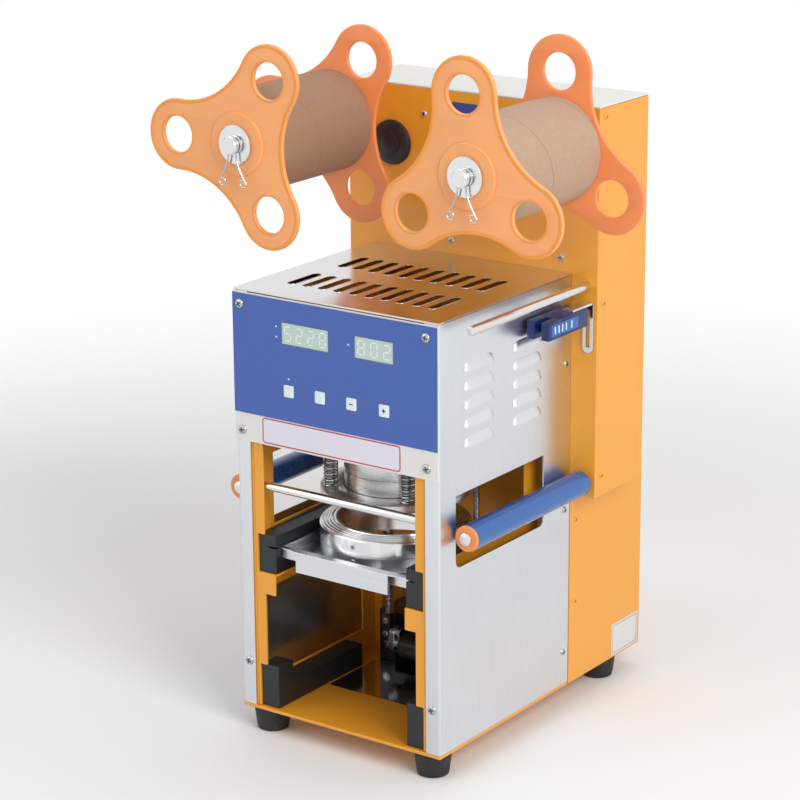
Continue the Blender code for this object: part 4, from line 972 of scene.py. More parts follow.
class SEALER_OT_top(bpy.types.Operator):
    """Build the top cover with its two rows of lipped slots"""
    bl_idname = "sealer.top"
    bl_label = "Top Cover"

    def execute(self, context):
        settings = context.scene.sealer_sheet
        steel = "Brushed stainless, lengthwise"
        half = settings.slot_width / 2
        lip = settings.slot_lip
        outside = rectangle(-BODY_HALF, BODY_HALF, 0, BODY_DEPTH)
        inside = rectangle(TOP_SHEET - BODY_HALF, BODY_HALF - TOP_SHEET, TOP_SHEET, BODY_DEPTH - TOP_SHEET)
        outlines = [outside]
        middles = [(number - (SLOT_COUNT - 1) / 2) * SLOT_PITCH for number in range(SLOT_COUNT)]
        for front, rear in SLOT_ROWS:
            outlines += [slot_outline(middle - half, middle + half, front, rear) for middle in middles]
            places = [((middle, (front + rear) / 2, TOP_LOW + TOP_SHEET), UP) for middle in middles]
            reach = (rear - front) / 2
            wide, far = half + 2 * lip, reach + 2 * lip
            rim = sheet([slot_outline(-wide, wide, -far, far), slot_outline(-half, half, -reach, reach)],
                        "XY", -TOP_SKIN, TOP_SKIN + lip, lip * 0.4)
            repeated("slot_lips_%d" % round(front * 1000), places, rim, steel, "machine")
        top = sheet(outlines, "XY", TOP_LOW + TOP_SHEET - TOP_SKIN, TOP_SKIN)
        fold = sheet([outside, inside], "XY", TOP_LOW, TOP_SHEET - TOP_SKIN)
        finished("top", gather([top, fold]), steel, "machine", ["top_cover"])
        return {"FINISHED"}


class SEALER_OT_frames(bpy.types.Operator):
    """Finish the base, the inner frames, the rails and the bridge, and turn the front bar"""
    bl_idname = "sealer.frames"
    bl_label = "Base And Frames"

    def execute(self, context):
        dress("base_plate", "Orange powder paint", 0.0005)
        dress("mirror_pan", "Mirror stainless", 0.0002)
        dress("bridge_plate", "Brushed stainless, upright", 0.0003)
        for name, side in SIDES:
            dress("inner_frame_" + name, "Orange powder paint", 0.0004)
            for row in ("lower", "upper"):
                dress(row + "_rail_" + name, "Black moulded plastic", 0.0006)
            ends = sorted(side * end for end in HEM_ENDS)
            hem = sheet([rectangle(*ends, *HEM_RISE)], "XZ", HEM_FRONT, 0.001, 0.0002)
            finished("frame_hem_" + name, hem, "Orange powder paint", "machine")
        tip = [(0, BAR_HALF), (BAR_RADIUS - 0.0012, BAR_HALF), (BAR_RADIUS - 0.0003, BAR_HALF - 0.0005),
               (BAR_RADIUS, BAR_HALF - 0.0015)]
        bar = [(radius, -run) for radius, run in tip] + tip[::-1]
        finished("bar", lathe(bar, (0, *BAR), "X", 48), "Polished steel", "machine",
                 ["front_bar"])
        return {"FINISHED"}


class SEALER_OT_feet(bpy.types.Operator):
    """Set the four rubber feet under the base"""
    bl_idname = "sealer.feet"
    bl_label = "Feet"

    def execute(self, context):
        profile = [(0, -0.0003), (0.0155, -0.0003), (0.0165, -0.0007), (0.017, -0.0018), (0.0166, -0.006),
                   (0.0149, -0.0195), (0.0142, -0.0222), (0.0125, -BASE_Z), (0.006, -BASE_Z),
                   (0.0055, -0.0225), (0.005, -0.019), (0, -0.019)]
        places = [((x, y, 0), UP) for x, y in FOOT_PLACES]
        nodes = ["foot_%s_%s" % (row, name) for row in ("front", "rear") for name, side in SIDES]
        repeated("feet", places, lathe(profile, (0, 0, 0), "Z", 64), "Foot rubber", "machine",
                 nodes=nodes)
        return {"FINISHED"}


# Control panel

SEGMENTS = {"0": "abcdef", "2": "abged", "5": "afgcd", "8": "abcdefg"}


def digit_bars(mark, left, low, tall, stroke):
    """The lit bars of one seven-segment digit, as flat outlines."""
    right = left + tall * DIGIT_ASPECT
    high = low + tall
    middle = low + tall / 2
    level = {"a": high, "g": middle, "d": low}
    upright = {"f": (left, middle, high), "e": (left, low, middle), "b": (right, middle, high),
               "c": (right, low, middle)}
    half = stroke / 2
    bars = []
    for name in SEGMENTS[mark]:
        across = name in level
        at, start, end = (level[name], left, right) if across else upright[name]
        along = (start + half, start + stroke, end - stroke, end - half, end - stroke, start + stroke)
        off = (0, half, half, 0, -half, -half)
        bars.append([(run, at + out) if across else (at + out, run) for run, out in zip(along, off)])
    return bars


def rounded(left, right, low, high, corner):
    """A rectangle with round corners."""
    near, far, under, over = left + corner, right - corner, low + corner, high - corner
    points = []
    for quarter, middle in enumerate(((far, over), (near, over), (near, under), (far, under))):
        points += arc(middle, corner, quarter * pi / 2, pi / 2, 6)
    return points


class SEALER_OT_panel(bpy.types.Operator):
    """Finish the panel and set its displays, digits, label and printed marks"""
    bl_idname = "sealer.panel"
    bl_label = "Control Panel"

    def execute(self, context):
        settings = context.scene.sealer_panel
        dress("front_panel", "Cream powder paint", 0.0003)
        dress("panel_film", "Panel film", 0)
        dress("control_board", "Circuit board", 0)
        low, high = DISPLAY_RISE
        tall = settings.digit_height
        glass = []
        bars = []
        for left, right, marks in DISPLAYS:
            glass.append(sheet([rectangle(left + LIFT, right - LIFT, low + LIFT, high - LIFT)], "XZ",
                               PANEL_FACE - PRINT, PRINT))
            step = (right - left) / len(marks)
            start = left + (step - tall * DIGIT_ASPECT) / 2
            base = (low + high - tall) / 2
            for place, mark in enumerate(marks):
                bars += digit_bars(mark, start + place * step, base, tall, settings.stroke)
        finished("display_windows", gather(glass), "Display window", "machine")
        digits = gather([sheet([bar], "XZ", PANEL_FACE - 0.0003, 0.0001) for bar in bars])
        finished("display_digits", digits, "Display digit", "machine")
        left, right, low, high = LABEL
        border = settings.border
        outer = rounded(left, right, low, high, 0.003)
        inner = rounded(left + border, right - border, low + border, high - border, 0.002)
        finished("blank_label", sheet([outer], "XZ", PANEL_FACE - PRINT, PRINT), "Label stock", "machine")
        finished("label_border", sheet([outer, inner], "XZ", PANEL_FACE - PRINT - 0.00006, PRINT),
                 "Label border", "machine")
        dots = gather([sheet([circle(dot, 0.0009, 20)], "XZ", FILM_FACE - 0.00005, 0.0001) for dot in DOTS])
        finished("indicator_dots", dots, "White print and painted highlight", "machine")
        return {"FINISHED"}


class SEALER_OT_keys(bpy.types.Operator):
    """Build the four keys with their marks"""
    bl_idname = "sealer.keys"
    bl_label = "Keys"

    def execute(self, context):
        settings = context.scene.sealer_panel
        across = settings.key_width / 2
        up = settings.key_height / 2
        wide, tall = across + KEY_RIM, up + KEY_RIM
        for number, (body, x) in enumerate(KEY_CENTRES.items(), 1):
            cap = sheet([rounded(x - across, x + across, KEY_Z - up, KEY_Z + up, 0.0012)], "XZ", KEY_FACE,
                        -KEY_FACE, 0.0004)
            rim = sheet([rounded(x - wide, x + wide, KEY_Z - tall, KEY_Z + tall, 0.001)], "XZ", 0.0,
                        KEY_RIM)
            stem = lathe([(0, 0), (0.002, 0), (0.002, 0.0041), (0, 0.0041)], (x, 0, KEY_Z), "Y", 24)
            finished(body + "_cap", gather([cap, rim, stem]), "Key plastic", body,
                     ["key_%d" % number])
            strokes = []
            if body in ("key_minus", "key_plus"):
                strokes.append((MARK_HALF, MARK_STROKE))
            if body == "key_plus":
                strokes.append((MARK_STROKE, MARK_HALF))
            if strokes:
                mark = gather([sheet([rectangle(x - wide_half, x + wide_half, KEY_Z - tall_half,
                                                KEY_Z + tall_half)], "XZ", KEY_FACE - 0.00005, 0.0001)
                               for wide_half, tall_half in strokes])
                finished(body + "_mark", mark, "Dark print and painted shade", body)
        return {"FINISHED"}


# Mold and tray

def ridged_ring():
    """The ring's section: bore, rim, and four ridges that step down outwards."""
    points = [(RING_BORE, RING_TOP + 0.0006), (RING_BORE + 0.0006, RING_TOP + 0.0012),
              (RIM_RADIUS - 0.001, RIM_TOP), (RIM_RADIUS, RIM_TOP)]
    ridges = 4
    pitch = (MOLD_RADIUS - RIM_RADIUS) / (ridges + 0.85)
    drop = (RIM_TOP - RING_TOP) / ridges
    for ridge in range(ridges):
        inner = RIM_RADIUS + 0.0011 + ridge * pitch
        height = RIM_TOP - ridge * drop
        points += [(inner, height - 0.0019), (inner + 0.0006, height - 0.0019),
                   (inner + 0.0008, height - 0.0005), (inner + 0.0012, height - drop * 0.5),
                   (inner + pitch - 0.0002, height - drop * 0.6)]
    points += [(MOLD_RADIUS - 0.0005, RING_TOP - 0.0006), (MOLD_RADIUS, RING_TOP - 0.0014),
               (MOLD_RADIUS, MOLD_SEAM + LIFT), (RING_BORE, MOLD_SEAM + LIFT)]
    return points


class SEALER_OT_mold(bpy.types.Operator):
    """Turn the mold's body and its ridged ring, and finish the tray under them"""
    bl_idname = "sealer.mold"
    bl_label = "Mold And Tray"

    def execute(self, context):
        metal = "Turned aluminium mold"
        centre = (0, MOLD_Y, 0)
        finished("mold_top", lathe(ridged_ring(), centre, "Z", 160, True), metal, "sliding_tray",
                 ["mold_ring"])
        body = [(MOLD_BORE, MOLD_SEAM), (MOLD_RADIUS - 0.0004, MOLD_SEAM),
                (MOLD_RADIUS, MOLD_SEAM - 0.0004), (MOLD_RADIUS, MOLD_FLOOR + 0.0006),
                (MOLD_RADIUS - 0.0006, MOLD_FLOOR), (MOLD_BORE, MOLD_FLOOR)]
        finished("mold_base", lathe(body, centre, "Z", 160, True), metal, "sliding_tray",
                 ["mold_body"])
        dress("tray", "Pressed stainless", 0.0003)
        facing = Vector((cos(GRUB_ANGLE), sin(GRUB_ANGLE), 0))
        places = [(Vector((0, MOLD_Y, height)) + facing * MOLD_RADIUS, facing) for height in GRUB_HEIGHTS]
        repeated("grub_screws", places, socket_screw(0.0025, 0.0006), "Spring steel", "sliding_tray")
        # Painted shade: a dark block at the bottom of each grub screw's hex socket
        repeated("grub_sockets", places, block((-0.0011, -0.0011, 0), (0.0011, 0.0011, 0.0003)),
                 "Dark print and painted shade", "sliding_tray")
        return {"FINISHED"}


# Fasteners

def cross_outline(reach, half):
    """A cross with four equal arms."""
    corner = [(half, half), (half, reach), (-half, reach)]
    points = []
    for _ in range(4):
        points += corner
        corner = [(-up, across) for across, up in corner]
    return points


def cross_screw(radius, height):
    """A pan-head screw with a cross recess, facing up its local Z."""
    profile = [(0, height), (radius * 0.45, height * 0.96), (radius * 0.75, height * 0.80),
               (radius * 0.93, height * 0.5), (radius, height * 0.2), (radius, -0.0002), (0, -0.0002)]
    head = lathe(profile, (0, 0, 0), "Z", 40)
    cross = sheet([cross_outline(radius * 0.64, radius * 0.15)], "XY", height * 0.35, height)
    return carve(head, cross)


def painted_recess_shade(radius, height):
    """Painted shade: a dark filling in the bottom of a cross recess."""
    return sheet([cross_outline(radius * 0.635, radius * 0.145)], "XY", height * 0.3, height * 0.54)


def set_screws(name, places, radius, height, look):
    """Cross-recess screws and the painted shade in their recesses, with the same spins."""
    repeated(name, places, cross_screw(radius, height), look, "machine", SCREW_SPIN)
    repeated(name + "_recesses", places, painted_recess_shade(radius, height), "Dark print and painted shade", "machine",
             SCREW_SPIN)


def socket_screw(radius, height):
    """A small screw with a hexagonal socket."""
    head = lathe([(0, height), (radius * 0.8, height), (radius, height * 0.6), (radius, -0.0004),
                  (0, -0.0004)], (0, 0, 0), "Z", 32)
    socket = lathe([(0, height * 2), (radius * 0.5, height * 2), (radius * 0.5, -0.0002), (0, -0.0002)],
                   (0, 0, 0), "Z", 6)
    return carve(head, socket)


def hex_bolt(radius, height):
    """A hexagon bolt head with a chamfer and a washer under it."""
    head = lathe([(0, height), (radius * 0.82, height), (radius, height * 0.82), (radius, 0.0008),
                  (0, 0.0008)], (0, 0, 0), "Z", 6)
    washer = lathe([(0, 0.0009), (radius * 1.25, 0.0009), (radius * 1.3, 0.0006), (radius * 1.3, -0.0002),
                    (0, -0.0002)], (0, 0, 0), "Z", 36)
    return gather([head, washer])


def pairs(x, y, heights, facing):
    """Places on both sides at each height; the facing's x also changes sides."""
    return [((side * x, y, z), (side * facing[0], *facing[1:])) for name, side in SIDES for z in heights]


class SEALER_OT_screws(bpy.types.Operator):
    """Set the cross-recess screws of the panel, posts, covers, cabinet and column"""
    bl_idname = "sealer.screws"
    bl_label = "Screws"

    def execute(self, context):
        front = [((x, FILM_FACE if z > 0.30 else PANEL_FACE, z), FORWARD) for x, z in PANEL_SCREWS]
        front += pairs(0.1016, 0, (0.0455,), FORWARD)
        flank = pairs(BODY_HALF, 0.200, (0.175, 0.0353, 0.314), OUTWARD)
        back = [((x, COLUMN_FRONT, z), FORWARD) for x, z in COLUMN_SCREWS]
        rear = pairs(0.126, COLUMN_BACK, (0.202, 0.368, 0.534), BACKWARD)
        rear += pairs(0.099, CABINET_BACK, (0.014, 0.174), BACKWARD)
        zinc = "Zinc plated steel"
        set_screws("panel_screws", front, 0.0043, 0.0019, zinc)
        set_screws("cover_screws", flank + back + rear, 0.0032, 0.0015, zinc)
        sprayed = pairs(BODY_HALF, 0.2195, (0.080, 0.160), OUTWARD)
        sprayed += pairs(COLUMN_HALF, 0.2195, (0.5394, 0.3700, 0.2080), OUTWARD)
        set_screws("column_screws", sprayed, 0.0026, 0.0013, "Orange powder paint")
        return {"FINISHED"}


# Sealing head

def helix(x, y, low, high, radius, thickness, turns):
    """A close spring with flat ends."""
    points = []
    steps = 20
    total = turns * steps
    for step in range(total + 1):
        share = min(max((step - steps) / (total - 2 * steps), 0.0), 1.0)
        turn = 2 * pi * step / steps
        height = low + thickness + share * (high - low - 2 * thickness)
        points.append((x + radius * cos(turn), y + radius * sin(turn), height))
    return wire(points, thickness, 1)


def threads(low, high, radius, pitch, depth):
    """The (radius, height) points of a threaded stretch, from its top down."""
    points = []
    for turn in range(int((high - low) / pitch)):
        height = high - turn * pitch
        points += [(radius - depth, height), (radius, height - pitch / 2)]
    return points + [(radius - depth, low)]


class SEALER_OT_head(bpy.types.Operator):
    """Build the heater, the head plate with its posts, the presser and its springs"""
    bl_idname = "sealer.head"
    bl_label = "Sealing Head"

    def execute(self, context):
        settings = context.scene.sealer_head
        centre = (0, MOLD_Y, 0)
        top = HEAD_PLATE_LOW - LIFT
        waist = HEATER_RADIUS - 0.0006
        heater = [(0, top), (0.020, top), (0.020, HEATER_HIGH), (HEATER_RADIUS - 0.0015, HEATER_HIGH),
                  (HEATER_RADIUS, HEATER_HIGH - 0.0015), (HEATER_RADIUS, 0.2290), (waist, 0.2284),
                  (waist, 0.2274), (HEATER_RADIUS, 0.2268), (HEATER_RADIUS, HEATER_LOW + 0.001),
                  (HEATER_RADIUS - 0.001, HEATER_LOW), (0, HEATER_LOW)]
        finished("heater", lathe(heater, centre, "Z", 128), "Turned aluminium heater", "sealing_head",
                 ["heater_block"])
        left, right, front, rear = HEAD_PLATE
        holes = [circle((side * 0.052, MOLD_Y), 0.0055) for name, side in SIDES]
        pieces = [sheet([rounded(left, right, front, rear, 0.004)] + holes, "XY", HEAD_PLATE_LOW,
                        HEAD_PLATE_HIGH - HEAD_PLATE_LOW, 0.0005)]
        nut_top = PRESSER_LOW - LIFT
        post = [(0, HEAD_PLATE_LOW + 0.001), (0.004, HEAD_PLATE_LOW + 0.001), (0.004, nut_top - 0.0026),
                (0, nut_top - 0.0026)]
        nut = [(0, nut_top), (0.0048, nut_top), (0.0055, nut_top - 0.0004), (0.0055, nut_top - 0.0022),
               (0, nut_top - 0.0022)]
        for x, y in POSTS:
            pieces += [lathe(post, (x, y, 0), "Z", 32), lathe(nut, (x, y, 0), "Z", 6)]
        finished("head", gather(pieces), "Turned aluminium heater", "sealing_head",
                 ["head_plate"])
        rings = [circle((0, MOLD_Y), radius, 128) for radius in (PRESSER_RADIUS, HEATER_RADIUS + 0.001)]
        sockets = [circle(place, 0.0045, 24) for place in POSTS]
        flange = sheet(rings + sockets, "XY", PRESSER_LOW, PRESSER_HIGH - PRESSER_LOW, 0.0008)
        finished("presser_flange", flange, "Turned presser", "presser", ["presser_plate"])
        low = PRESSER_HIGH + LIFT
        for number, (x, y) in enumerate(POSTS, 1):
            spring = helix(x, y, low, top, settings.spring_radius, settings.spring_wire,
                           settings.spring_turns)
            piece = finished("presser_coil_%d" % number, spring, "Spring steel", "sealing_head",
                             ["presser_spring_%d" % number])
            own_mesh(piece)
        return {"FINISHED"}


class SEALER_OT_rods(bpy.types.Operator):
    """Build the threaded lift rods with their nuts, links and springs, and finish the crank"""
    bl_idname = "sealer.rods"
    bl_label = "Lift Rods And Crank"

    def execute(self, context):
        settings = context.scene.sealer_head
        pitch = settings.thread_pitch
        depth = settings.thread_depth
        top = HEAD_PLATE_LOW - LIFT
        foot = LINK_LOW + 0.012
        profile = [(0, top), (ROD_RADIUS - depth, top)]
        profile += threads(foot, top, ROD_RADIUS, pitch, depth) + [(0, foot)]
        for name, side in SIDES:
            x = side * ROD_X
            pieces = [lathe(profile, (x, ROD_Y, 0), "Z", 24)]
            for low, high in ((NUT_LOW, 0.1439), (0.1446, NUT_HIGH)):
                nut = [(0, high), (0.0050, high), (0.0060, high - 0.0006), (0.0060, low + 0.0006),
                       (0.0050, low), (0, low)]
                pieces.append(lathe(nut, (x, ROD_Y, 0), "Z", 6))
            finished("threaded_rod_" + name, gather(pieces), "Zinc plated steel", "sealing_head",
                     ["lift_rod_" + name])
            link = soften(block((x - 0.004, ROD_Y - LINK_HALF, LINK_LOW),
                                (x + 0.004, ROD_Y + LINK_HALF, LINK_HIGH)), 0.0008)
            finished("rod_link_" + name, link, "Black enamel and painted shade", "sealing_head")
            places = [((x, ROD_Y - LINK_HALF, height), FORWARD) for height in (0.0375, 0.0505)]
            repeated("link_bolts_" + name, places, hex_bolt(0.0028, 0.0022), "Zinc plated steel",
                     "sealing_head", BOLT_SPIN)
            spring = helix(x, ROD_Y, LINK_HIGH + LIFT, NUT_LOW - LIFT, settings.rod_spring_radius,
                           settings.rod_spring_wire, settings.rod_spring_turns)
            finished("rod_coil_" + name, spring, "Spring steel", "sealing_head",
                     ["rod_spring_" + name])
        dress("crank_shaft", "Zinc plated steel", 0.0004)
        dress("gear_motor", "Black enamel and painted shade", 0.0012)
        places = pairs(0.061, 0.157, (0.019, 0.046), FORWARD)
        repeated("gearbox_bolts", places, hex_bolt(0.0032, 0.0026), "Zinc plated steel", "machine",
                 BOLT_SPIN)
        return {"FINISHED"}


# Column and cabinet

class SEALER_OT_column(bpy.types.Operator):
    """Finish the column and the cabinet, and set the boss, the inlet's pins and the blank plates"""
    bl_idname = "sealer.column"
    bl_label = "Column And Cabinet"

    def execute(self, context):
        dress("column_shell", "Orange powder paint", 0.0004)
        dress("column_cap", "Cream powder paint", 0.0004)
        dress("lower_cabinet", "Orange powder paint", 0.0004)
        dress("power_inlet", "Black moulded plastic", 0.0004)
        dress("sensor_bracket", "Polished steel", 0.0003)
        pins = [soften(block((x - 0.0010, 0.3215, z - 0.0020), (x + 0.0010, 0.3340, z + 0.0020)), 0.0005)
                for x, z in INLET_PINS]
        finished("inlet_pins", gather(pins), "Zinc plated steel", "machine")
        boss = [(0, 0), (0.009, 0), (0.010, 0.0004), (0.0102, 0.0015), (0.0185, 0.0022), (0.0205, 0.0032),
                (0.021, 0.0046), (0.021, 0.006), (0, 0.006)]
        finished("boss", lathe(boss, BOSS, "Y", 64), "Black moulded plastic", "machine",
                 ["column_boss"])
        plate = sheet([rounded(*NAME_PLATE, 0.0015)], "XZ", COLUMN_FRONT - 0.0006, 0.0006, 0.0001)
        finished("name_plate", plate, "Name plate blue", "machine")
        rating = sheet([rounded(*RATING_PLATE, 0.001)], "YZ", BODY_HALF, 0.0004, 0.0001)
        finished("rating_plate", rating, "Plate stock", "machine")
        front, rear, low, high = RATING_PLATE
        rims = [rounded(front + inside, rear - inside, low + inside, high - inside, 0.001)
                for inside in (0.002, 0.0024)]
        edge = sheet(rims, "YZ", BODY_HALF + LIFT, 0.00015)
        finished("rating_plate_line", edge, "Dark print and painted shade", "machine")
        return {"FINISHED"}


# Reels

def polar(radius, angle):
    """A point at the given radius and angle."""
    return Vector((radius * cos(angle), radius * sin(angle)))


def reel_outline(phase, settings):
    """Three round lobes joined by hollow arcs that touch them."""
    offset = settings.lobe_radius - settings.waist
    away = (settings.hole_circle ** 2 - offset ** 2) / (settings.hole_circle + 2 * offset)
    hollow = away - settings.waist
    points = []
    for lobe in range(3):
        heading = phase + lobe * 2 * pi / 3
        centre = polar(settings.hole_circle, heading)
        following = polar(settings.hole_circle, heading + 2 * pi / 3)
        before = polar(away, heading - pi / 3)
        after = polar(away, heading + pi / 3)
        start = atan2(*(before - centre).yx)
        sweep = (atan2(*(after - centre).yx) - start) % (2 * pi)
        points += arc(centre, settings.lobe_radius, start, sweep, 40)
        start = atan2(*(centre - after).yx)
        sweep = (start - atan2(*(following - after).yx)) % (2 * pi)
        points += arc(after, hollow, start, -sweep, 20)[1:-1]
    return points


def lobe_centres(phase, settings):
    """The middles of a reel plate's three lobes."""
    return [polar(settings.hole_circle, phase + lobe * 2 * pi / 3) for lobe in range(3)]


def reel_plate(x, front, facing, phase, settings):
    """A reel plate with rounded rims, its raised hub outside and its spigot inside."""
    outlines = [reel_outline(phase, settings)]
    outlines += [circle(middle, settings.hole_radius, 56) for middle in lobe_centres(phase, settings)]
    outlines.append(circle((0, 0), REEL_BORE, 48))
    plate = sheet(outlines, "XZ", front, settings.plate, settings.rounding)
    plate.transform(Matrix.Translation((x, 0, REEL_Z)))
    back = front + settings.plate
    near, far = (front - settings.hub_height, front) if facing < 0 else (back + settings.hub_height, back)
    radius = settings.hub_radius
    hub = [(REEL_BORE, near), (radius - 0.0011, near), (radius - 0.0004, near + (far - near) * 0.25),
           (radius, far), (radius, far + (far - near) * 0.4), (REEL_BORE, far + (far - near) * 0.4)]
    spigot = CORE_RADIUS - CORE_WALL - LIFT
    inside = (back - 0.001, back + 0.006) if facing < 0 else (front - 0.006, front + 0.001)
    collar = [(spigot, inside[0]), (spigot, inside[1]), (spigot - 0.003, inside[1]),
              (spigot - 0.003, inside[0])]
    centre = (x, 0, REEL_Z)
    return gather([plate, lathe(hub, centre, "Y", 96, True), lathe(collar, centre, "Y", 96, True)])


def inset(outline, distance):
    """The outline moved inwards by the distance."""
    points = []
    for number, (across, up) in enumerate(outline):
        before = Vector(outline[number - 1])
        after = Vector(outline[(number + 1) % len(outline)])
        run = (after - before).normalized()
        points.append((across - run.y * distance, up + run.x * distance))
    return points


def reel_rim(x, front, facing, phase, settings):
    """The raised band that runs round a reel plate's outer face and round its holes."""
    outline = reel_outline(phase, settings)
    low = front - settings.rim_height if facing < 0 else front + settings.plate - settings.rounding
    thick = settings.rim_height + settings.rounding
    lines = [(inset(outline, settings.rounding * 0.5), inset(outline, settings.rim_width))]
    for middle in lobe_centres(phase, settings):
        lines.append((circle(middle, settings.hole_radius + settings.rim_width * 0.6, 56),
                      circle(middle, settings.hole_radius + settings.rounding * 0.4, 56)))
    band = gather([sheet(pair, "XZ", low, thick, settings.rim_height * 0.8) for pair in lines])
    band.transform(Matrix.Translation((x, 0, REEL_Z)))
    return band


def hairpin(x, y):
    """The hairpin clip's line: over the shaft's groove, down two spreading legs, a curl at each end."""
    over = arc((0, 0), GROOVE_RADIUS + 0.0006, radians(-50), radians(280), 40)
    legs = []
    for side, start in ((1, over[0]), (-1, over[-1])):
        start = Vector(start)
        knee = Vector((side * 0.0026, -0.0150))
        end = Vector((side * 0.0150, -0.0330))
        line = []
        for step in range(1, 13):
            share = step / 12
            line.append(start.lerp(knee, share).lerp(knee.lerp(end, share), share))
        curl = arc((end.x - side * 0.0033, end.y), 0.0033, 0 if side > 0 else pi, -side * radians(290), 16)
        legs.append([tuple(point) for point in line] + curl[1:])
    path = legs[0][::-1] + over + legs[1]
    return [(x + across, y, REEL_Z + up) for across, up in path]


class SEALER_OT_reels(bpy.types.Operator):
    """Build the two film reels with their cores, shafts, washers and clips"""
    bl_idname = "sealer.reels"
    bl_label = "Film Reels"

    def execute(self, context):
        settings = context.scene.sealer_reel
        for name, side in SIDES:
            x = side * REEL_X
            front, rear = (radians(phase) for phase in REEL_PHASES[name])
            body = "reel_" + name
            plates = (("front", REEL_FRONT_Y, -1, front), ("rear", REEL_REAR_Y, 1, rear))
            for place, y, facing, phase in plates:
                plate = reel_plate(x, y, facing, phase, settings)
                rim = reel_rim(x, y, facing, phase, settings)
                # Painted light and shade: front plates get the lighter copy of the reel plastic, rear
                # plates the darker
                finished(place + "_plate_" + name, plate, place.capitalize() + " reel plastic with painted light and shade", body,
                         ["reel_%s_%s" % (place, name)])
                # Painted glow: the rim band is coloured deeper orange than its plate
                finished(place + "_rim_" + name, rim, "Reel rim plastic with painted glow", body)
            low, high = REEL_FRONT_Y + settings.plate + LIFT, REEL_REAR_Y - LIFT
            wall = CORE_RADIUS - CORE_WALL
            tube = [(CORE_RADIUS - 0.0005, low), (CORE_RADIUS, low + 0.0005), (CORE_RADIUS, high - 0.0005),
                    (CORE_RADIUS - 0.0005, high), (wall, high), (wall, low)]
            centre = (x, 0, REEL_Z)
            # Painted light and shade: the left core gets the darker copy of the card colour, the right core
            # the lighter
            finished("core_" + name, lathe(tube, centre, "Y", 128, True), "Core card with painted light and shade " + name, body,
                     ["film_core_" + name])
            rear_end = COLUMN_FRONT - LIFT
            spindle = [(0, rear_end), (0.014, rear_end), (0.014, rear_end - 0.005),
                       (0.013, rear_end - 0.006), (SHAFT_RADIUS, rear_end - 0.006),
                       (SHAFT_RADIUS, 0.0227), (0.0168, 0.0227),
                       (0.0175, 0.0221), (0.0175, 0.0203), (0.0168, 0.0197), (SHAFT_RADIUS, 0.0197),
                       (SHAFT_RADIUS, 0.0185), (GROOVE_RADIUS, 0.0185), (GROOVE_RADIUS, 0.0155),
                       (SHAFT_RADIUS, 0.0155), (SHAFT_RADIUS, 0.0130), (0.0071, 0.0120), (0, 0.0120)]
            finished("spindle_" + name, lathe(spindle, centre, "Y", 64), "Polished steel", "machine",
                     ["reel_shaft_" + name])
            finished("clip_" + name, wire(hairpin(x, CLIP_Y), 0.0008, 3), "Spring steel", "machine")
        return {"FINISHED"}


class SEALER_OT_rollers(bpy.types.Operator):
    """Build the film rollers, the guide rod and the forked sensor"""
    bl_idname = "sealer.rollers"
    bl_label = "Rollers And Sensor"

    def execute(self, context):
        rear = COLUMN_FRONT - LIFT
        seat = ROLLER_FRONT + 0.0024
        tube = [(ROLLER_RADIUS - 0.0004, seat), (ROLLER_RADIUS, seat + 0.0004),
                (ROLLER_RADIUS, ROLLER_REAR - 0.0004), (ROLLER_RADIUS - 0.0004, ROLLER_REAR),
                (ROLLER_BORE, ROLLER_REAR), (ROLLER_BORE, seat)]
        cap = [(ROLLER_BORE, ROLLER_FRONT), (ROLLER_RADIUS - 0.0008, ROLLER_FRONT),
               (ROLLER_RADIUS - 0.0001, ROLLER_FRONT + 0.0006), (ROLLER_RADIUS - 0.0001, seat),
               (ROLLER_BORE, seat)]
        axle = [(0, rear), (0.006, rear), (0.006, rear - 0.004), (0.004, rear - 0.004), (0.004, 0.0197),
                (0.0058, 0.0197), (0.0060, 0.0193), (0.0056, 0.0180), (0.0042, 0.0170), (0.0020, 0.0167),
                (0, 0.0167)]
        for name, side in SIDES:
            centre = (side * ROLLER_X, 0, ROLLER_Z)
            body = "roller_" + name
            finished("roller_tube_" + name, lathe(tube, centre, "Y", 96, True), "Blue anodised roller",
                     body, ["film_roller_" + name])
            finished("end_bushing_" + name, lathe(cap, centre, "Y", 96, True), "Bushing plastic", body)
            finished("axle_bolt_" + name, lathe(axle, centre, "Y", 64), "Polished steel", "machine",
                     ["roller_axle_" + name])
        rod = [(0, 0.0226), (0.0030, 0.0228), (0.0040, 0.0236), (0.0043, 0.0250), (0.0043, rear), (0, rear)]
        finished("film_guide", lathe(rod, (GUIDE[0], 0, GUIDE[1]), "Y", 48), "Polished steel", "machine",
                 ["guide_rod"])
        inside, outside = SENSOR_SIDES
        low, high = SENSOR_RISE
        body = soften(block((inside, 0.150, low), (outside, 0.195, high)), 0.0012)
        fork = [soften(block((left, 0.130, low), (left + 0.008, 0.153, high)), 0.0009)
                for left in (inside, outside - 0.008)]
        finished("sensor_body", gather([body] + fork), "Sensor housing", "machine",
                 ["film_sensor"])
        face = sheet([rounded(0.134, 0.178, low + 0.003, high - 0.003, 0.001)], "YZ", outside, 0.0003,
                     0.0001)
        finished("sensor_plate", face, "Sensor face", "machine")
        # Painted highlight: the sensor's embossed bars are drawn as white strips
        lines = [sheet([rectangle(start, start + 0.0018, low + 0.005, high - 0.005)], "YZ",
                       outside + 0.0002, 0.0003) for start in SENSOR_BAR_HIGHLIGHTS]
        finished("sensor_marks", gather(lines), "White print and painted highlight", "machine")
        set_screws("sensor_screws", [((0.1285, 0.1834, high), UP)], 0.0026, 0.0014, "Zinc plated steel")
        return {"FINISHED"}


# Floor, light and camera

def seen_directly(lay):
    """One for a ray that shows its target straight, mirrored or through glass, else nought."""
    path = lay.add("ShaderNodeLightPath")
    seen = lay.math("MAXIMUM", path.outputs["Is Camera Ray"], path.outputs["Is Glossy Ray"])
    return lay.math("MAXIMUM", seen, path.outputs["Is Transmission Ray"])


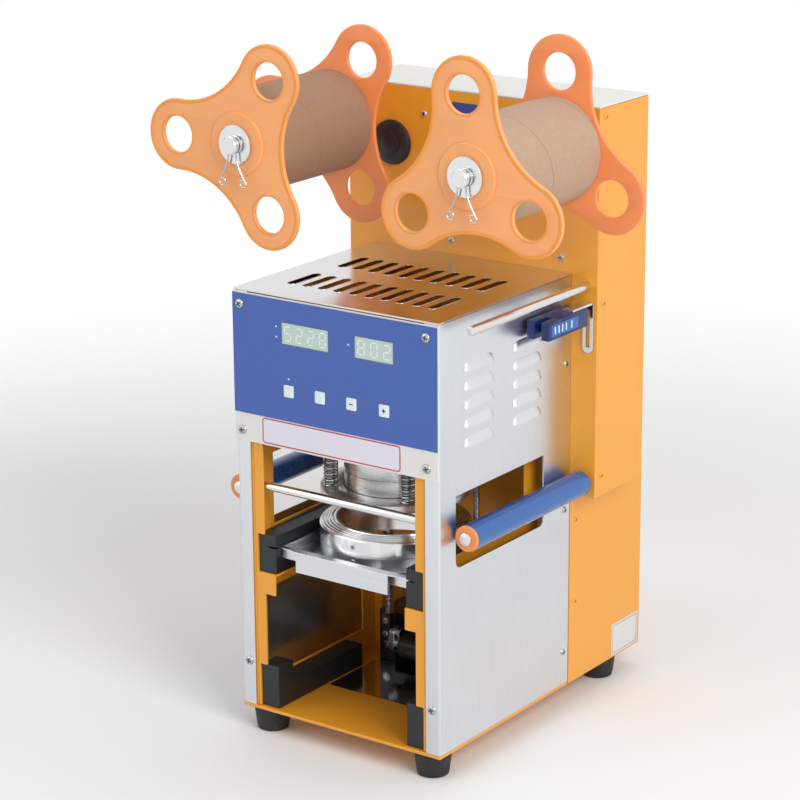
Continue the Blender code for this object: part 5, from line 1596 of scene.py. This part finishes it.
def floor_material():
    """A plain pale floor that keeps the shadow near the object and turns white far from it."""
    material, lay, shader, place = start_material("Studio floor")
    reach = lay.add("ShaderNodeVectorMath", {"operation": "LENGTH"}, i0=place).outputs["Value"]
    fade = lay.add("ShaderNodeMapRange", {"interpolation_type": "SMOOTHSTEP"}, i0=reach, i1=FLOOR_FADE[0],
                   i2=FLOOR_FADE[1]).outputs["Result"]
    shader.inputs["Base Color"].default_value = (0.90, 0.90, 0.90, 1)
    shader.inputs["Roughness"].default_value = 0.75
    glow = lay.add("ShaderNodeEmission", Color=(1, 1, 1, 1), Strength=1.0)
    share = lay.math("MULTIPLY", seen_directly(lay), fade)
    blend = lay.add("ShaderNodeMixShader", i0=share, i1=shader.outputs["BSDF"], i2=glow.outputs["Emission"])
    lay.feed(material.node_tree.nodes["Material Output"], "Surface", blend.outputs["Shader"])
    return material


def lamp(name, place, size, power):
    """A square area lamp that points at the machine's middle."""
    data = bpy.data.lights.new(name, "AREA")
    data.size = size
    data.energy = power
    holder = link_object(name, data)
    holder.location = place
    holder.rotation_euler = (Vector(LAMP_AIM) - Vector(place)).to_track_quat("-Z", "Y").to_euler()
    return holder


class SEALER_OT_stage(bpy.types.Operator):
    """Set the floor, the soft studio light and the camera of the photograph"""
    bl_idname = "sealer.stage"
    bl_label = "Stage"

    def execute(self, context):
        settings = context.scene.sealer_stage
        shape = bmesh.new()
        bmesh.ops.create_grid(shape, x_segments=1, y_segments=1, size=6.0)
        floor = link_object("floor", to_mesh("floor", shape))
        floor.data.materials.append(floor_material())
        lamps = [lamp("key_lamp", (2.5, -1.1, 1.9), 1.6, settings.key_power),
                 lamp("fill_lamp", (-1.8, -2.0, 1.5), 1.8, settings.fill_power),
                 lamp("top_lamp", (0.1, 0.2, 2.6), 1.6, settings.fill_power)]
        world = bpy.data.worlds.new("studio")
        world.use_nodes = True
        lay = Nodes(world.node_tree)
        ambient = world.node_tree.nodes["Background"]
        ambient.inputs["Color"].default_value = (1, 1, 1, 1)
        ambient.inputs["Strength"].default_value = settings.ambient
        white = lay.add("ShaderNodeBackground", Color=(1, 1, 1, 1), Strength=1.0)
        blend = lay.add("ShaderNodeMixShader", i0=seen_directly(lay), i1=ambient.outputs["Background"],
                        i2=white.outputs["Background"])
        lay.feed(world.node_tree.nodes["World Output"], "Surface", blend.outputs["Shader"])
        context.scene.world = world
        data = bpy.data.cameras.new("photo_camera")
        data.sensor_width = 36
        data.lens = CAMERA_LENS
        data.shift_x, data.shift_y = CAMERA_SHIFT
        camera = link_object("photo_camera", data)
        turn = Matrix.Rotation(radians(CAMERA_AZIMUTH), 4, "Z")
        tip = Matrix.Rotation(radians(90 - CAMERA_ELEVATION), 4, "X")
        roll = Matrix.Rotation(radians(CAMERA_ROLL), 4, "Z")
        camera.matrix_world = Matrix.Translation(CAMERA_PLACE) @ turn @ tip @ roll
        context.scene.camera = camera
        context.scene.view_settings.view_transform = "Standard"
        return {"FINISHED"}


STEPS = (SEALER_OT_covers, SEALER_OT_top, SEALER_OT_frames, SEALER_OT_feet, SEALER_OT_panel,
         SEALER_OT_keys, SEALER_OT_mold, SEALER_OT_head, SEALER_OT_rods, SEALER_OT_column,
         SEALER_OT_reels, SEALER_OT_rollers, SEALER_OT_screws, SEALER_OT_stage)


class SEALER_PT_sidebar(bpy.types.Panel):
    """Lists the steps and their sizes in the sidebar"""
    bl_label = "Cup Sealing Machine"
    bl_idname = "SEALER_PT_sidebar"
    bl_space_type = "VIEW_3D"
    bl_region_type = "UI"
    bl_category = "Sealer"

    def draw(self, context):
        for step in STEPS:
            self.layout.operator(step.bl_idname)
        for name in SETTINGS:
            group = getattr(context.scene, name)
            box = self.layout.box()
            for setting in group.bl_rna.properties:
                if setting.identifier not in ("rna_type", "name"):
                    box.prop(group, setting.identifier)


SETTINGS = {"sealer_sheet": SheetSettings, "sealer_panel": PanelSettings, "sealer_head": HeadSettings,
            "sealer_reel": ReelSettings, "sealer_stage": StageSettings}


def register():
    """Register the settings, the steps and the sidebar."""
    for name, group in SETTINGS.items():
        bpy.utils.register_class(group)
        setattr(bpy.types.Scene, name, bpy.props.PointerProperty(type=group))
    for step in STEPS:
        bpy.utils.register_class(step)
    bpy.utils.register_class(SEALER_PT_sidebar)


def unregister():
    """Remove what register added."""
    bpy.utils.unregister_class(SEALER_PT_sidebar)
    for step in reversed(STEPS):
        bpy.utils.unregister_class(step)
    for name, group in SETTINGS.items():
        delattr(bpy.types.Scene, name)
        bpy.utils.unregister_class(group)


def main():
    """Build everything in order."""
    register()
    bpy.ops.sealer.covers()
    bpy.ops.sealer.top()
    bpy.ops.sealer.frames()
    bpy.ops.sealer.feet()
    bpy.ops.sealer.panel()
    bpy.ops.sealer.keys()
    bpy.ops.sealer.mold()
    bpy.ops.sealer.head()
    bpy.ops.sealer.rods()
    bpy.ops.sealer.column()
    bpy.ops.sealer.reels()
    bpy.ops.sealer.rollers()
    bpy.ops.sealer.screws()
    bpy.ops.sealer.stage()


if __name__ == "__main__":
    main()
